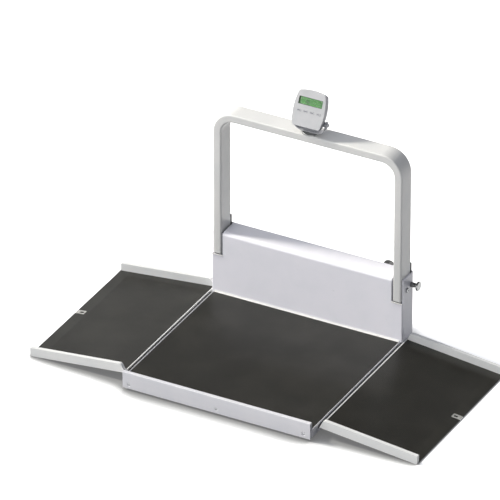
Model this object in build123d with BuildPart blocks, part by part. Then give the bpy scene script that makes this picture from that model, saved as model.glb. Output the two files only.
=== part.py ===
from build123d import *
import math
import os

os.makedirs("parts", exist_ok=True)

# Driving dimensions, in millimetres. The origin lies on the floor under the middle of the whole outline,
# castors included. +Z is up, -Y is the kerb side, and the ramps lead off along +X and -X.
deck_width = 800.0
platform_depth = 820.0
deck_height = 49.0
rail_height = 846.0
panel_height = 318.0
panel_depth = 90.0
panel_overhang = 10.0
ramp_run = 408.0
ramp_width = 729.0
castor_height = 90.0
head_face_height = 144.0

half_deck = deck_width / 2
half_depth = platform_depth / 2
half_panel = half_deck + panel_overhang
half_ramp = ramp_width / 2
kerb_face_y = -(platform_depth + castor_height) / 2
platform_rear_y = kerb_face_y + platform_depth
deck_middle_y = kerb_face_y + half_depth
panel_front_y = platform_rear_y - panel_depth

# Sheets, mats and gaps that several pieces share.
sheet = 2.0
deck_sheet = 3.0
mat_thickness = 3.0
overrun = 5.0
fit_gap = 0.3
running_gap = 0.06

# Deck tray, its edge rails and the kerb along the front.
deck_plate_top = deck_height - mat_thickness
deck_plate_bottom = deck_plate_top - deck_sheet
skirt_bottom = 12.0
tray_front_y = kerb_face_y + deck_sheet
tray_rear_y = platform_rear_y - sheet
kerb_thickness = 16.0
kerb_top = 79.0
kerb_bottom = 10.0
kerb_bend = 3.5
kerb_screw_inset = 27.0
kerb_screw_z = 28.0
kerb_screw_hole = 2.6
kerb_screw_head = 5.2
kerb_screw_angle = 90.0
mat_side_inset = 1.4
edge_rail_top = deck_height + mat_side_inset / 2

# Hook rail along each side of the deck: a U channel that the ramp's hooked lip drops into.
rail_wall = 3.0
hook_slot = 8.0
hook_outer_wall = 2.5
hook_floor_top = 27.0
hook_outer_top = 37.0
hook_rail_end_gap = 4.0
hook_front_gap = 6.0

# Hat ribs under the deck plate.
rib_count = 4
rib_pitch = 120.0
rib_width = 56.0
rib_crown = 36.0
rib_height = 22.0
rib_flange = 12.0
rib_end_gap = 75.0
rib_length = deck_width - 2 * rib_end_gap

# Load cells in the four corners, each with a screwed foot.
cell_length = 130.0
cell_width = 30.0
cell_height = 22.0
cell_inset_x = 85.0
cell_inset_y = 62.0
cell_spacer = 5.0
cell_bore = 15.0
cell_bore_pitch = 22.0
cell_waist = 5.0
foot_pad = 50.0
foot_neck = 26.0
foot_height = 8.0
foot_stud = 12.0
foot_nut = 21.0
foot_nut_height = 5.0
foot_offset = 45.0

# Column panel: front, ends and top folded from one sheet, closed by a rear cover.
panel_top_bend = 15.0
panel_corner_bend = 4.0
cover_depth = 22.0
cover_seam_y = platform_rear_y - cover_depth
notch_depth = 101.0
notch_wrap = 8.0
notch_sill = panel_height - notch_depth
sill_lip_depth = 8.0
sill_lip_drop = 5.0
end_doubler_gap = 0.8

# Handrail: a U of flat rectangular tube whose legs stand in the panel's notches.
tube_width = 34.0
tube_depth = 82.0
tube_wall = 2.0
tube_corner = 6.0
rail_bend_inner = 55.0
leg_inset = 6.0
leg_stand_out = 2.0
leg_end_gap = 2.5
leg_end_bend = 5.0
notch_gap = 7.0
leg_end = notch_sill + leg_end_gap
half_rail = half_panel - leg_inset
leg_inner_x = half_rail - tube_width
leg_centre_x = half_rail - tube_width / 2
leg_front_y = panel_front_y - leg_stand_out
leg_centre_y = leg_front_y + tube_depth / 2
leg_rear_y = leg_front_y + tube_depth

# Rests behind the legs, which stop the handrail when it stands up.
rest_thickness = 7.0
rest_rise = 36.0
rest_sink = 67.0
rest_base = notch_sill - rest_sink

# Pivot bolts and the brackets that hold their inner ends.
pivot_drop = 59.0
pivot_z = panel_height - pivot_drop
pivot_shaft = 12.0
pivot_bush = 20.0
pivot_head = 20.0
pivot_head_height = 5.0
pivot_head_edge = 3.0
pivot_nut = 19.0
pivot_nut_height = 8.0
bracket_sheet = 3.0
bracket_width = 70.0
bracket_rise = 40.0
bracket_foot = 30.0

# Pull plunger at the right-hand leg.
plunger_offset_y = 32.6
plunger_offset_z = 9.0
plunger_pin = 6.0
plunger_slot_gap = 0.3
slot_sweep = 90.0
plunger_engage = 9.0
plunger_sleeve_diameter = 20.0
plunger_sleeve_length = 18.0
plunger_neck = 13.0
plunger_knob = 37.0
plunger_knob_thickness = 8.0
plunger_reach_out = 31.0
plunger_knob_x = half_panel + plunger_reach_out
plunger_knob_edge = 2.0
sleeve_chamfer = 0.6

# Castors on the panel's back, on which the folded scale is wheeled along.
wheel_radius = 37.5
wheel_width = 24.0
wheel_crown = 3.0
wheel_hub = 9.0
wheel_axle = 4.0
wheel_x = 272.0
castor_plate = 64.0
castor_plate_corner = 5.5
castor_plate_thickness = 3.0
castor_trail = 28.0
castor_drop = 89.0
castor_swivel_z = panel_height - castor_drop
castor_cheek = 2.5
castor_cheek_gap = 1.6
castor_bearing = 22.0
castor_bearing_height = 6.0
kingpin_radius = 5.0
kingpin_head = 8.0
kingpin_head_height = 1.5
fork_root_half = 17.0
fixed_wheel_z = 62.0

# Ramps: a sheet between two boxed flanges, hinged to a leaf that stands in the hook rail.
ramp_root_gap = 19.5
ramp_root_step = 1.0
ramp_root_x = half_deck + ramp_root_gap
ramp_root_z = deck_height - ramp_root_step
ramp_sheet = 2.5
ramp_mat = 2.5
ramp_tip_height = 5.2
ramp_flange = 15.0
ramp_flange_rise = 31.0
ramp_flange_sheet = 2.0
ramp_flange_start = -2.9
ramp_flange_rake = 10.2
ramp_tip_rake = 4.0
ramp_tip_bend = 8.0
ramp_root_bend = 12.0
ramp_lip_start = -4.1
ramp_lip_end = -0.3
ramp_lip_rise = 0.4
wedge_count = 4
wedge_pitch = 140.0
wedge_sheet = 3.0
wedge_start = 35.0
wedge_end = 300.0
wedge_foot = 0.3
tab_length = 38.0
tab_width = 26.0
tab_hole = 12.0
tab_hole_length = 18.0
tab_hole_inset = 14.0
tab_thickness = 3.0
tab_corner = 3.0

# Piano hinge between each leaf and its ramp.
hinge_offset = 11.5
hinge_drop = 6.5
hinge_x = half_deck + hinge_offset
hinge_z = deck_height - hinge_drop
hinge_pin = 3.4
knuckle_radius = 3.3
knuckle_count = 33
knuckle_gap = 0.4
strip_width = 26.0
strip_sheet = 1.8
leaf_sheet = 2.2
leaf_side_gap = 0.5
leaf_block_height = 6.0
leaf_top_drop = 3.9
leaf_front_gap = 61.0
leaf_rear_gap = 8.0
leaf_front_y = kerb_face_y + leaf_front_gap
leaf_rear_y = panel_front_y - leaf_rear_gap

# Indicator head: a moulded case leaning back on a bent yoke.
head_lean = 26.3
head_stand_out = 17.0
head_rise = 40.0
head_front_y = panel_front_y - head_stand_out
head_base_z = rail_height + head_rise
head_depth = 43.0
head_bezel = 13.0
head_wall = 2.5
head_foot_half = 57.5
head_waist_half = 67.5
head_waist_rise = 62.0
head_crown_half = 56.0
head_shoulder_rise = 137.0
head_corner = 8.0
head_edge = 2.5
head_back_inset = 9.0
window_width = 101.0
window_height = 30.0
window_rise = 99.0
window_inset = 0.8
window_flange = 3.0
window_flange_thickness = 1.5
key_count = 4
key_pitch = 27.5
key_width = 19.0
key_height = 9.0
key_corner = 2.5
key_rise = 60.0
key_proud = 0.8
key_depth = 6.0
key_flange = 1.5
key_travel = 0.8
board_width = 108.0
board_height = 96.0
board_thickness = 1.6
board_rise = 74.0
board_set_back = 8.0
display_block_height = 34.0
display_block_gap = 0.6
switch_radius = 3.0
battery_cover_width = 66.0
battery_cover_height = 52.0
battery_cover_rise = 78.0
battery_cover_thickness = 2.0
battery_ridge_length = 22.0
battery_ridge_drop = 17.0

# Tilt yoke, its knobs and the pad under it.
yoke_width = 28.0
yoke_sheet = 3.0
yoke_bend = 40.0
yoke_ear_x = 67.0
tilt_rise = 26.0
tilt_set_back = 34.0
tilt_boss = 20.0
tilt_gap = 1.5
tilt_screw = 6.0
tilt_screw_depth = 10.0
knob_radius = 7.5
knob_thickness = 7.0
knob_flutes = 10
knob_flute_radius = 1.4
pad_radius = 32.0
pad_thickness = 7.0
pad_edge = 2.0
pad_groove = 1.2
gland_radius = 7.0
gland_height = 9.0
gland_nut = 17.0
gland_nut_height = 4.0
gland_bore = 3.0
gland_x = -30.0
gland_rise = 24.0

# Summing box inside the panel, where the four load cells' leads meet.
box_length = 110.0
box_height = 64.0
box_depth = 30.0
box_corner = 5.0
box_x = -120.0
box_z = 150.0


def save(builder, name):
    """Labels a finished piece and writes it to its own file."""
    builder.part.label = name
    export_step(builder.part, f"parts/{name}.step")


def mirrored(builder):
    """Returns the left-hand twin of a right-hand piece."""
    with BuildPart() as twin:
        mirror(builder.part, about=Plane.YZ)
    return twin


def across(y):
    """Returns the upright plane at depth y, seen from the front: local x is +X and local y is +Z."""
    return Plane(origin=(0, y, 0), x_dir=(1, 0, 0), z_dir=(0, -1, 0))


def endwise(x):
    """Returns the upright plane at width x, seen from the right: local x is +Y and local y is +Z."""
    return Plane(origin=(x, 0, 0), x_dir=(0, 1, 0), z_dir=(1, 0, 0))


# Deck tray: a plate with skirts folded down on all four sides.
with BuildPart() as deck_tray:
    with BuildSketch(Plane.XY.offset(skirt_bottom)):
        with Locations((0, (tray_front_y + tray_rear_y) / 2)):
            Rectangle(deck_width, tray_rear_y - tray_front_y)
    extrude(amount=deck_plate_top - skirt_bottom)
    offset(amount=-deck_sheet, openings=deck_tray.faces().sort_by(Axis.Z)[0])
save(deck_tray, "deck_tray")

# Kerb: an inverted channel whose inner leg stands on the deck plate.
kerb_rear_y = kerb_face_y + kerb_thickness
with BuildPart() as front_kerb:
    with BuildSketch(endwise(-half_deck)):
        with BuildLine():
            Polyline(
                (kerb_face_y, kerb_bottom),
                (kerb_face_y, kerb_top),
                (kerb_rear_y, kerb_top),
                (kerb_rear_y, deck_plate_top),
                (kerb_rear_y - deck_sheet, deck_plate_top),
                (kerb_rear_y - deck_sheet, kerb_top - deck_sheet),
                (tray_front_y, kerb_top - deck_sheet),
                (tray_front_y, kerb_bottom),
                close=True,
            )
        make_face()
    extrude(amount=deck_width)
    fillet(front_kerb.edges().filter_by(Axis.X).group_by(Axis.Z)[-1], radius=kerb_bend)
    with Locations(across(kerb_face_y)):
        with Locations(*[(step * (half_deck - kerb_screw_inset), kerb_screw_z) for step in (-1, 0, 1)]):
            CounterSinkHole(kerb_screw_hole, kerb_screw_head, 2 * deck_sheet, kerb_screw_angle)
save(front_kerb, "front_kerb")

# Ribbed mat on the deck.
mat_rear_y = panel_front_y - fit_gap
with BuildPart() as deck_mat:
    with BuildSketch(Plane.XY.offset(deck_plate_top)):
        with Locations((0, (kerb_rear_y + fit_gap + mat_rear_y) / 2)):
            Rectangle(deck_width - 2 * mat_side_inset, mat_rear_y - kerb_rear_y - fit_gap)
    extrude(amount=mat_thickness)
save(deck_mat, "deck_mat")

# Hat ribs that stiffen the plate from below.
with BuildPart() as deck_ribs:
    with BuildSketch(endwise(-rib_length / 2)):
        for index in range(rib_count):
            middle = deck_middle_y + (index - (rib_count - 1) / 2) * rib_pitch
            foot = rib_width / 2
            crown = rib_crown / 2
            with BuildLine():
                Polyline(
                    (middle - foot - rib_flange, deck_plate_bottom),
                    (middle - foot - rib_flange, deck_plate_bottom - sheet),
                    (middle - foot - sheet, deck_plate_bottom - sheet),
                    (middle - crown - sheet, deck_plate_bottom - rib_height),
                    (middle + crown + sheet, deck_plate_bottom - rib_height),
                    (middle + foot + sheet, deck_plate_bottom - sheet),
                    (middle + foot + rib_flange, deck_plate_bottom - sheet),
                    (middle + foot + rib_flange, deck_plate_bottom),
                    (middle + foot, deck_plate_bottom),
                    (middle + crown, deck_plate_bottom - rib_height + sheet),
                    (middle - crown, deck_plate_bottom - rib_height + sheet),
                    (middle - foot, deck_plate_bottom),
                    close=True,
                )
            make_face()
    extrude(amount=rib_length)
save(deck_ribs, "deck_ribs")

# Load cells: a bending beam with the bored window of a strain-gauge cell, on a spacer under the plate.
cell_top = deck_plate_bottom - cell_spacer
cell_bottom = cell_top - cell_height
corners = {
    "front_right": (1, -1),
    "front_left": (-1, -1),
    "rear_right": (1, 1),
    "rear_left": (-1, 1),
}
for corner, (side, end) in corners.items():
    cell_x = side * (half_deck - cell_inset_x)
    cell_y = deck_middle_y + end * (half_depth - cell_inset_y)
    foot_x = cell_x + side * foot_offset
    with BuildPart() as load_cell:
        with BuildSketch(across(cell_y + cell_width / 2)):
            with Locations((cell_x, (cell_top + cell_bottom) / 2)):
                Rectangle(cell_length, cell_height)
                with GridLocations(cell_bore_pitch, 0, 2, 1):
                    Circle(cell_bore / 2, mode=Mode.SUBTRACT)
                Rectangle(cell_bore_pitch, cell_waist, mode=Mode.SUBTRACT)
        extrude(amount=cell_width)
        with BuildSketch(Plane.XY.offset(cell_top)):
            with Locations((cell_x - side * foot_offset, cell_y)):
                Rectangle(cell_width, cell_width)
        extrude(amount=cell_spacer)
        with BuildSketch(Plane.XY.offset(cell_bottom)):
            with Locations((foot_x, cell_y)):
                Circle(foot_stud / 2)
        extrude(amount=cell_height, mode=Mode.SUBTRACT)
    save(load_cell, f"load_cell_{corner}")

    # Foot: a rubber-soled disc on a threaded stud, with the lock nut under the cell.
    with BuildPart() as foot:
        with BuildSketch(Plane(origin=(foot_x, cell_y, 0), x_dir=(1, 0, 0), z_dir=(0, -1, 0))):
            with BuildLine():
                Polyline(
                    (0, 0),
                    (foot_pad / 2, 0),
                    (foot_pad / 2, foot_height / 2),
                    (foot_neck / 2, foot_height),
                    (foot_stud / 2, foot_height),
                    (foot_stud / 2, cell_top - sheet),
                    (0, cell_top - sheet),
                    close=True,
                )
            make_face()
        revolve(axis=Axis((foot_x, cell_y, 0), (0, 0, 1)))
        with BuildSketch(Plane.XY.offset(cell_bottom - foot_nut_height)):
            with Locations((foot_x, cell_y)):
                RegularPolygon(foot_nut / 2, 6)
        extrude(amount=foot_nut_height)
    save(foot, f"foot_{corner}")

# Hook rail: its inner wall is the narrow bright edge beside the mat, and runs on to the kerb where the
# channel stops.
hook_inner_x = half_deck + rail_wall
hook_outer_x = hook_inner_x + hook_slot
hook_front_y = kerb_rear_y
hook_rear_y = panel_front_y - hook_rail_end_gap
with BuildPart() as hook_rail_right:
    with BuildSketch(across(hook_rear_y)):
        with BuildLine():
            Polyline(
                (half_deck, skirt_bottom + sheet),
                (half_deck, edge_rail_top),
                (hook_inner_x, edge_rail_top),
                (hook_inner_x, hook_floor_top),
                (hook_outer_x, hook_floor_top),
                (hook_outer_x, hook_outer_top),
                (hook_outer_x + hook_outer_wall, hook_outer_top),
                (hook_outer_x + hook_outer_wall, hook_floor_top - rail_wall),
                (hook_inner_x, hook_floor_top - rail_wall),
                (hook_inner_x, skirt_bottom + sheet),
                close=True,
            )
        make_face()
    extrude(amount=hook_rear_y - hook_front_y)
    with BuildSketch(across(leaf_front_y - hook_front_gap)):
        with Locations((hook_outer_x, (hook_floor_top + hook_outer_top) / 2)):
            Rectangle(2 * hook_slot, 2 * hook_outer_top)
    extrude(amount=leaf_front_y - hook_front_gap - hook_front_y, mode=Mode.SUBTRACT)
    fillet(hook_rail_right.edges().filter_by(Axis.Y).group_by(Axis.Z)[-1], radius=sheet / 2)
save(hook_rail_right, "hook_rail_right")
save(mirrored(hook_rail_right), "hook_rail_left")

# Column panel: a box open at the back and underneath, rounded along its front top edge.
panel_inner_x = half_panel - sheet
notch_inner_x = leg_inner_x - notch_gap
with BuildPart() as panel_shell:
    with BuildSketch(Plane.XY.offset(deck_plate_top)):
        with Locations((0, (panel_front_y + cover_seam_y) / 2)):
            Rectangle(2 * half_panel, cover_seam_y - panel_front_y)
    extrude(amount=panel_height - deck_plate_top)
    top_edges = panel_shell.edges().filter_by(Axis.X).group_by(Axis.Z)[-1]
    fillet(top_edges.sort_by(Axis.Y)[0], radius=panel_top_bend)
    fillet(panel_shell.edges().filter_by(Axis.Z).group_by(Axis.Y)[0], radius=panel_corner_bend)
    open_back = panel_shell.faces().filter_by(Axis.Y).sort_by(Axis.Y)[-1]
    open_base = panel_shell.faces().filter_by(Axis.Z).sort_by(Axis.Z)[0]
    offset(amount=-sheet, openings=[open_back, open_base])
    for side in (-1, 1):
        # The notch takes a strip of the front, wraps round the corner and runs back through the top.
        notch_x = side * (notch_inner_x + half_panel + overrun) / 2
        with BuildSketch(across(panel_front_y + notch_wrap)):
            with Locations((notch_x, (notch_sill + panel_height + overrun) / 2)):
                Rectangle(half_panel + overrun - notch_inner_x, panel_height + overrun - notch_sill)
        extrude(amount=notch_wrap + overrun, mode=Mode.SUBTRACT)
        with BuildSketch(Plane.XY.offset(panel_height - panel_top_bend)):
            with Locations((side * (notch_inner_x + panel_inner_x) / 2, (panel_front_y + cover_seam_y) / 2)):
                Rectangle(panel_inner_x - notch_inner_x, panel_depth)
        extrude(amount=panel_top_bend + overrun, mode=Mode.SUBTRACT)
        # Lip folded back and down under the leg's end, clear of the corner that swings over it.
        with BuildSketch(endwise(notch_inner_x if side > 0 else -panel_inner_x)):
            with BuildLine():
                Polyline(
                    (panel_front_y + sheet, notch_sill),
                    (panel_front_y + sill_lip_depth, notch_sill - sill_lip_drop),
                    (panel_front_y + sill_lip_depth, notch_sill - sill_lip_drop - sheet),
                    (panel_front_y + sheet, notch_sill - 2 * sheet),
                    close=True,
                )
            make_face()
        extrude(amount=panel_inner_x - notch_inner_x)
        # Doubler on the end wall, which carries the pivot and fills the space beside the leg.
        doubler_x = half_rail + end_doubler_gap
        with BuildSketch(Plane.XY.offset(rest_base)):
            doubler_middle_y = (panel_front_y + notch_wrap + cover_seam_y) / 2
            with Locations((side * (doubler_x + panel_inner_x) / 2, doubler_middle_y)):
                Rectangle(panel_inner_x - doubler_x, cover_seam_y - panel_front_y - notch_wrap)
        extrude(amount=panel_height - sheet - rest_base)
        with BuildSketch(endwise(side * half_panel)):
            with Locations((leg_centre_y, pivot_z)):
                Circle(pivot_shaft / 2 + running_gap)
        extrude(amount=2 * overrun, both=True, mode=Mode.SUBTRACT)
    with BuildSketch(endwise(half_panel)):
        with Locations((leg_centre_y + plunger_offset_y, pivot_z + plunger_offset_z)):
            Circle(plunger_neck / 2 + running_gap)
    extrude(amount=2 * overrun, both=True, mode=Mode.SUBTRACT)
save(panel_shell, "panel_shell")

# Rear cover: a shallow tray that closes the panel from behind, notched for the legs' rests.
with BuildPart() as panel_cover:
    with BuildSketch(Plane.XY.offset(deck_plate_top)):
        with Locations((0, (cover_seam_y + platform_rear_y) / 2)):
            Rectangle(2 * half_panel, cover_depth)
    extrude(amount=panel_height - deck_plate_top)
    fillet(panel_cover.edges().filter_by(Axis.Z).group_by(Axis.Y)[-1], radius=panel_corner_bend)
    open_front = panel_cover.faces().filter_by(Axis.Y).sort_by(Axis.Y)[0]
    open_foot = panel_cover.faces().filter_by(Axis.Z).sort_by(Axis.Z)[0]
    offset(amount=-sheet, openings=[open_front, open_foot])
    for side in (-1, 1):
        with BuildSketch(Plane.XY.offset(panel_height - overrun)):
            with Locations((side * (notch_inner_x + panel_inner_x) / 2, tray_rear_y - cover_depth / 2)):
                Rectangle(panel_inner_x - notch_inner_x, cover_depth)
        extrude(amount=2 * overrun, mode=Mode.SUBTRACT)
    with BuildSketch(endwise(half_panel - overrun)):
        with Locations((leg_centre_y + plunger_offset_y, pivot_z + plunger_offset_z)):
            Circle(plunger_neck / 2 + running_gap)
    extrude(amount=2 * overrun, mode=Mode.SUBTRACT)
save(panel_cover, "panel_cover")

# Rests: rubber-faced uprights behind the legs, standing above the panel's top.
rest_front_y = leg_rear_y + fit_gap
with BuildPart() as leg_rest_right:
    with BuildSketch(Plane.XY.offset(rest_base)):
        with Locations((leg_centre_x, rest_front_y + rest_thickness / 2)):
            Rectangle(tube_width, rest_thickness)
    extrude(amount=panel_height + rest_rise - rest_base)
    fillet(leg_rest_right.edges().filter_by(Axis.Y).group_by(Axis.Z)[-1], radius=rest_thickness / 2)
save(leg_rest_right, "leg_rest_right")
save(mirrored(leg_rest_right), "leg_rest_left")

# Pivot brackets: a Z-folded plate on the deck that carries the inner end of each pivot bolt.
bracket_outer_x = notch_inner_x - fit_gap
with BuildPart() as pivot_bracket_right:
    with BuildSketch(across(leg_centre_y + bracket_width / 2)):
        with BuildLine():
            Polyline(
                (bracket_outer_x, deck_plate_top),
                (bracket_outer_x, pivot_z + bracket_rise),
                (bracket_outer_x - bracket_sheet, pivot_z + bracket_rise),
                (bracket_outer_x - bracket_sheet, deck_plate_top + bracket_sheet),
                (bracket_outer_x - bracket_foot, deck_plate_top + bracket_sheet),
                (bracket_outer_x - bracket_foot, deck_plate_top),
                close=True,
            )
        make_face()
    extrude(amount=bracket_width)
    fillet(pivot_bracket_right.edges().filter_by(Axis.X).group_by(Axis.Z)[-1], radius=bracket_foot / 2)
    with BuildSketch(endwise(bracket_outer_x - 2 * bracket_sheet)):
        with Locations((leg_centre_y, pivot_z)):
            Circle(pivot_shaft / 2 + running_gap)
    extrude(amount=4 * bracket_sheet, mode=Mode.SUBTRACT)
save(pivot_bracket_right, "pivot_bracket_right")
save(mirrored(pivot_bracket_right), "pivot_bracket_left")

# Pivot bolts: button head outside the panel's end, nut inside the bracket.
with BuildPart() as pivot_bolt_right:
    nut_face_x = bracket_outer_x - bracket_sheet - fit_gap
    with BuildSketch(endwise(nut_face_x - pivot_nut_height - sheet)):
        with Locations((leg_centre_y, pivot_z)):
            Circle(pivot_shaft / 2)
    extrude(amount=half_panel + fit_gap - nut_face_x + pivot_nut_height + sheet)
    with BuildSketch(endwise(half_panel + fit_gap)):
        with Locations((leg_centre_y, pivot_z)):
            Circle(pivot_head / 2)
    extrude(amount=pivot_head_height)
    fillet(pivot_bolt_right.faces().sort_by(Axis.X)[-1].edges(), radius=pivot_head_edge)
    with BuildSketch(endwise(nut_face_x)):
        with Locations((leg_centre_y, pivot_z)):
            RegularPolygon(pivot_nut / 2, 6)
    extrude(amount=-pivot_nut_height)
save(pivot_bolt_right, "pivot_bolt_right")
save(mirrored(pivot_bolt_right), "pivot_bolt_left")

# Handrail: the same U swept twice, once outside and once inside, so that its walls stay even.
rail_centre_z = rail_height - tube_width / 2
rail_bend = rail_bend_inner + tube_width / 2


def rail_form(inset):
    """Returns the solid U, drawn in by inset all round, with its leg ends rounded about the pivots."""
    end_z = leg_end + inset
    swing = tube_depth / 2 - inset
    with BuildPart() as form:
        with BuildLine(across(leg_centre_y)) as route:
            FilletPolyline(
                (-leg_centre_x, end_z),
                (-leg_centre_x, rail_centre_z),
                (leg_centre_x, rail_centre_z),
                (leg_centre_x, end_z),
                radius=rail_bend,
            )
        with BuildSketch(Plane(origin=(-leg_centre_x, leg_centre_y, end_z), x_dir=(1, 0, 0))):
            RectangleRounded(tube_width - 2 * inset, tube_depth - 2 * inset, tube_corner - inset)
        sweep(path=route.line)
        with BuildSketch(endwise(-half_panel)):
            with Locations((leg_centre_y + swing, (leg_end + pivot_z) / 2)):
                Rectangle(2 * swing, pivot_z - leg_end)
            with Locations((leg_centre_y, pivot_z)):
                Circle(swing, mode=Mode.SUBTRACT)
        extrude(amount=2 * half_panel, mode=Mode.SUBTRACT)
    return form


# Where the plunger stands, seen from the pivot.
plunger_reach = math.hypot(plunger_offset_y, plunger_offset_z)
plunger_angle = math.degrees(math.atan2(plunger_offset_z, plunger_offset_y))
slot_half = plunger_pin / 2 + plunger_slot_gap


def round_pivot(radius, angle):
    """Returns the point on an endwise plane at a radius and an angle in degrees round the pivot."""
    turn = math.radians(angle)
    return (leg_centre_y + radius * math.cos(turn), pivot_z + radius * math.sin(turn))


with BuildPart() as handrail:
    add(rail_form(0).part)
    leg_ends = handrail.edges().filter_by(Axis.X).group_by(Axis.Z)[0].group_by(Axis.Y)[0]
    fillet(leg_ends, radius=leg_end_bend)
    add(rail_form(tube_wall).part, mode=Mode.SUBTRACT)
    for side in (-1, 1):
        with BuildSketch(endwise(side * leg_centre_x - tube_width / 2)):
            with Locations((leg_centre_y, pivot_z)):
                Circle(pivot_bush / 2)
        extrude(amount=tube_width)
        with BuildSketch(endwise(side * leg_centre_x - tube_width)):
            with Locations((leg_centre_y, pivot_z)):
                Circle(pivot_shaft / 2 + running_gap)
        extrude(amount=2 * tube_width, mode=Mode.SUBTRACT)
    # The plunger's pin rides in this quarter-round slot while the rail swings.
    with BuildSketch(endwise(half_rail - tube_wall - overrun)):
        with BuildLine():
            near = plunger_reach - slot_half
            far = plunger_reach + slot_half
            low = plunger_angle - slot_sweep
            middle = plunger_angle - slot_sweep / 2
            ThreePointArc(round_pivot(far, low), round_pivot(far, middle), round_pivot(far, plunger_angle))
            cap = math.degrees(slot_half / plunger_reach)
            upper_cap = round_pivot(plunger_reach, plunger_angle + cap)
            ThreePointArc(round_pivot(far, plunger_angle), upper_cap, round_pivot(near, plunger_angle))
            ThreePointArc(round_pivot(near, plunger_angle), round_pivot(near, middle), round_pivot(near, low))
            lower_cap = round_pivot(plunger_reach, low - cap)
            ThreePointArc(round_pivot(near, low), lower_cap, round_pivot(far, low))
        make_face()
    extrude(amount=tube_wall + 2 * overrun, mode=Mode.SUBTRACT)
save(handrail, "handrail")

# Plunger: fixed sleeve on the panel's end and a spring-loaded pin with a turned knob.
plunger_y = leg_centre_y + plunger_offset_y
plunger_z = pivot_z + plunger_offset_z
knob_back_x = plunger_knob_x - plunger_knob_thickness / 2
with BuildPart() as plunger_sleeve:
    with BuildSketch(endwise(half_panel)):
        with Locations((plunger_y, plunger_z)):
            Circle(plunger_sleeve_diameter / 2)
            Circle(plunger_neck / 2 + running_gap, mode=Mode.SUBTRACT)
    extrude(amount=plunger_sleeve_length)
    chamfer(plunger_sleeve.edges().group_by(Axis.X)[-1].sort_by(SortBy.LENGTH)[-1], length=sleeve_chamfer)
save(plunger_sleeve, "plunger_sleeve")

with BuildPart() as plunger_knob_pin:
    with BuildSketch(endwise(half_rail - plunger_engage)):
        with Locations((plunger_y, plunger_z)):
            Circle(plunger_pin / 2)
    extrude(amount=knob_back_x - half_rail + plunger_engage)
    with BuildSketch(endwise(half_rail + fit_gap)):
        with Locations((plunger_y, plunger_z)):
            Circle(plunger_neck / 2)
    extrude(amount=knob_back_x - half_rail - fit_gap)
    with BuildSketch(endwise(knob_back_x)):
        with Locations((plunger_y, plunger_z)):
            Circle(plunger_knob / 2)
    extrude(amount=plunger_knob_thickness)
    rims = plunger_knob_pin.edges().filter_by(GeomType.CIRCLE).sort_by(SortBy.RADIUS)[-2:]
    fillet(rims, radius=plunger_knob_edge)
save(plunger_knob_pin, "plunger_pin_and_knob")

# Wheels and castors on the rear cover: a fixed pair low down and a swivelling pair above.
wheel_y = platform_rear_y + castor_height - wheel_radius


def wheel_at(x, z):
    """Returns a crowned wheel with a hub, bored for its axle."""
    half = wheel_width / 2
    crown = wheel_radius - wheel_crown
    with BuildPart() as wheel:
        with BuildSketch(Plane(origin=(x, wheel_y, z), x_dir=(1, 0, 0), z_dir=(0, -1, 0))):
            with BuildLine():
                Polyline((-half, crown), (-half, wheel_hub + wheel_crown), (-half + wheel_crown, wheel_hub))
                Line((-half + wheel_crown, wheel_hub), (-half, wheel_axle + running_gap))
                Line((-half, wheel_axle + running_gap), (half, wheel_axle + running_gap))
                Polyline(
                    (half, wheel_axle + running_gap),
                    (half - wheel_crown, wheel_hub),
                    (half, wheel_hub + wheel_crown),
                    (half, crown),
                )
                ThreePointArc((half, crown), (0, wheel_radius), (-half, crown))
            make_face()
        revolve(axis=Axis((x, wheel_y, z), (1, 0, 0)))
    return wheel


def fork_at(x, plate_z, wheel_z, start_y, bored):
    """Returns a fork from its crown at start_y back to the axle, bored for a kingpin if it swivels."""
    gap = wheel_width / 2 + castor_cheek_gap
    outer = gap + castor_cheek
    drop = wheel_z - plate_z
    with BuildPart() as fork:
        with BuildSketch(endwise(x - outer)):
            with BuildLine():
                Polyline(
                    (start_y, plate_z - fork_root_half),
                    (wheel_y, wheel_z - wheel_hub),
                )
                ThreePointArc(
                    (wheel_y, wheel_z - wheel_hub),
                    (wheel_y + wheel_hub, wheel_z),
                    (wheel_y, wheel_z + wheel_hub),
                )
                Polyline(
                    (wheel_y, wheel_z + wheel_hub),
                    (start_y, plate_z + fork_root_half),
                    (start_y, plate_z - fork_root_half),
                )
            make_face()
        extrude(amount=2 * outer)
        with BuildSketch(endwise(x - gap)):
            with Locations((wheel_y, wheel_z)):
                Rectangle(2 * (wheel_y - start_y - castor_cheek), 4 * wheel_radius)
        extrude(amount=2 * gap, mode=Mode.SUBTRACT)
        with BuildSketch(endwise(x - outer - castor_cheek)):
            with Locations((wheel_y, wheel_z)):
                Circle(wheel_axle)
        extrude(amount=2 * (outer + castor_cheek))
        if bored:
            with BuildSketch(across(start_y + 2 * castor_cheek)):
                with Locations((x, plate_z)):
                    Circle(kingpin_radius + running_gap)
            extrude(amount=4 * castor_cheek, mode=Mode.SUBTRACT)
    return fork


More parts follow.
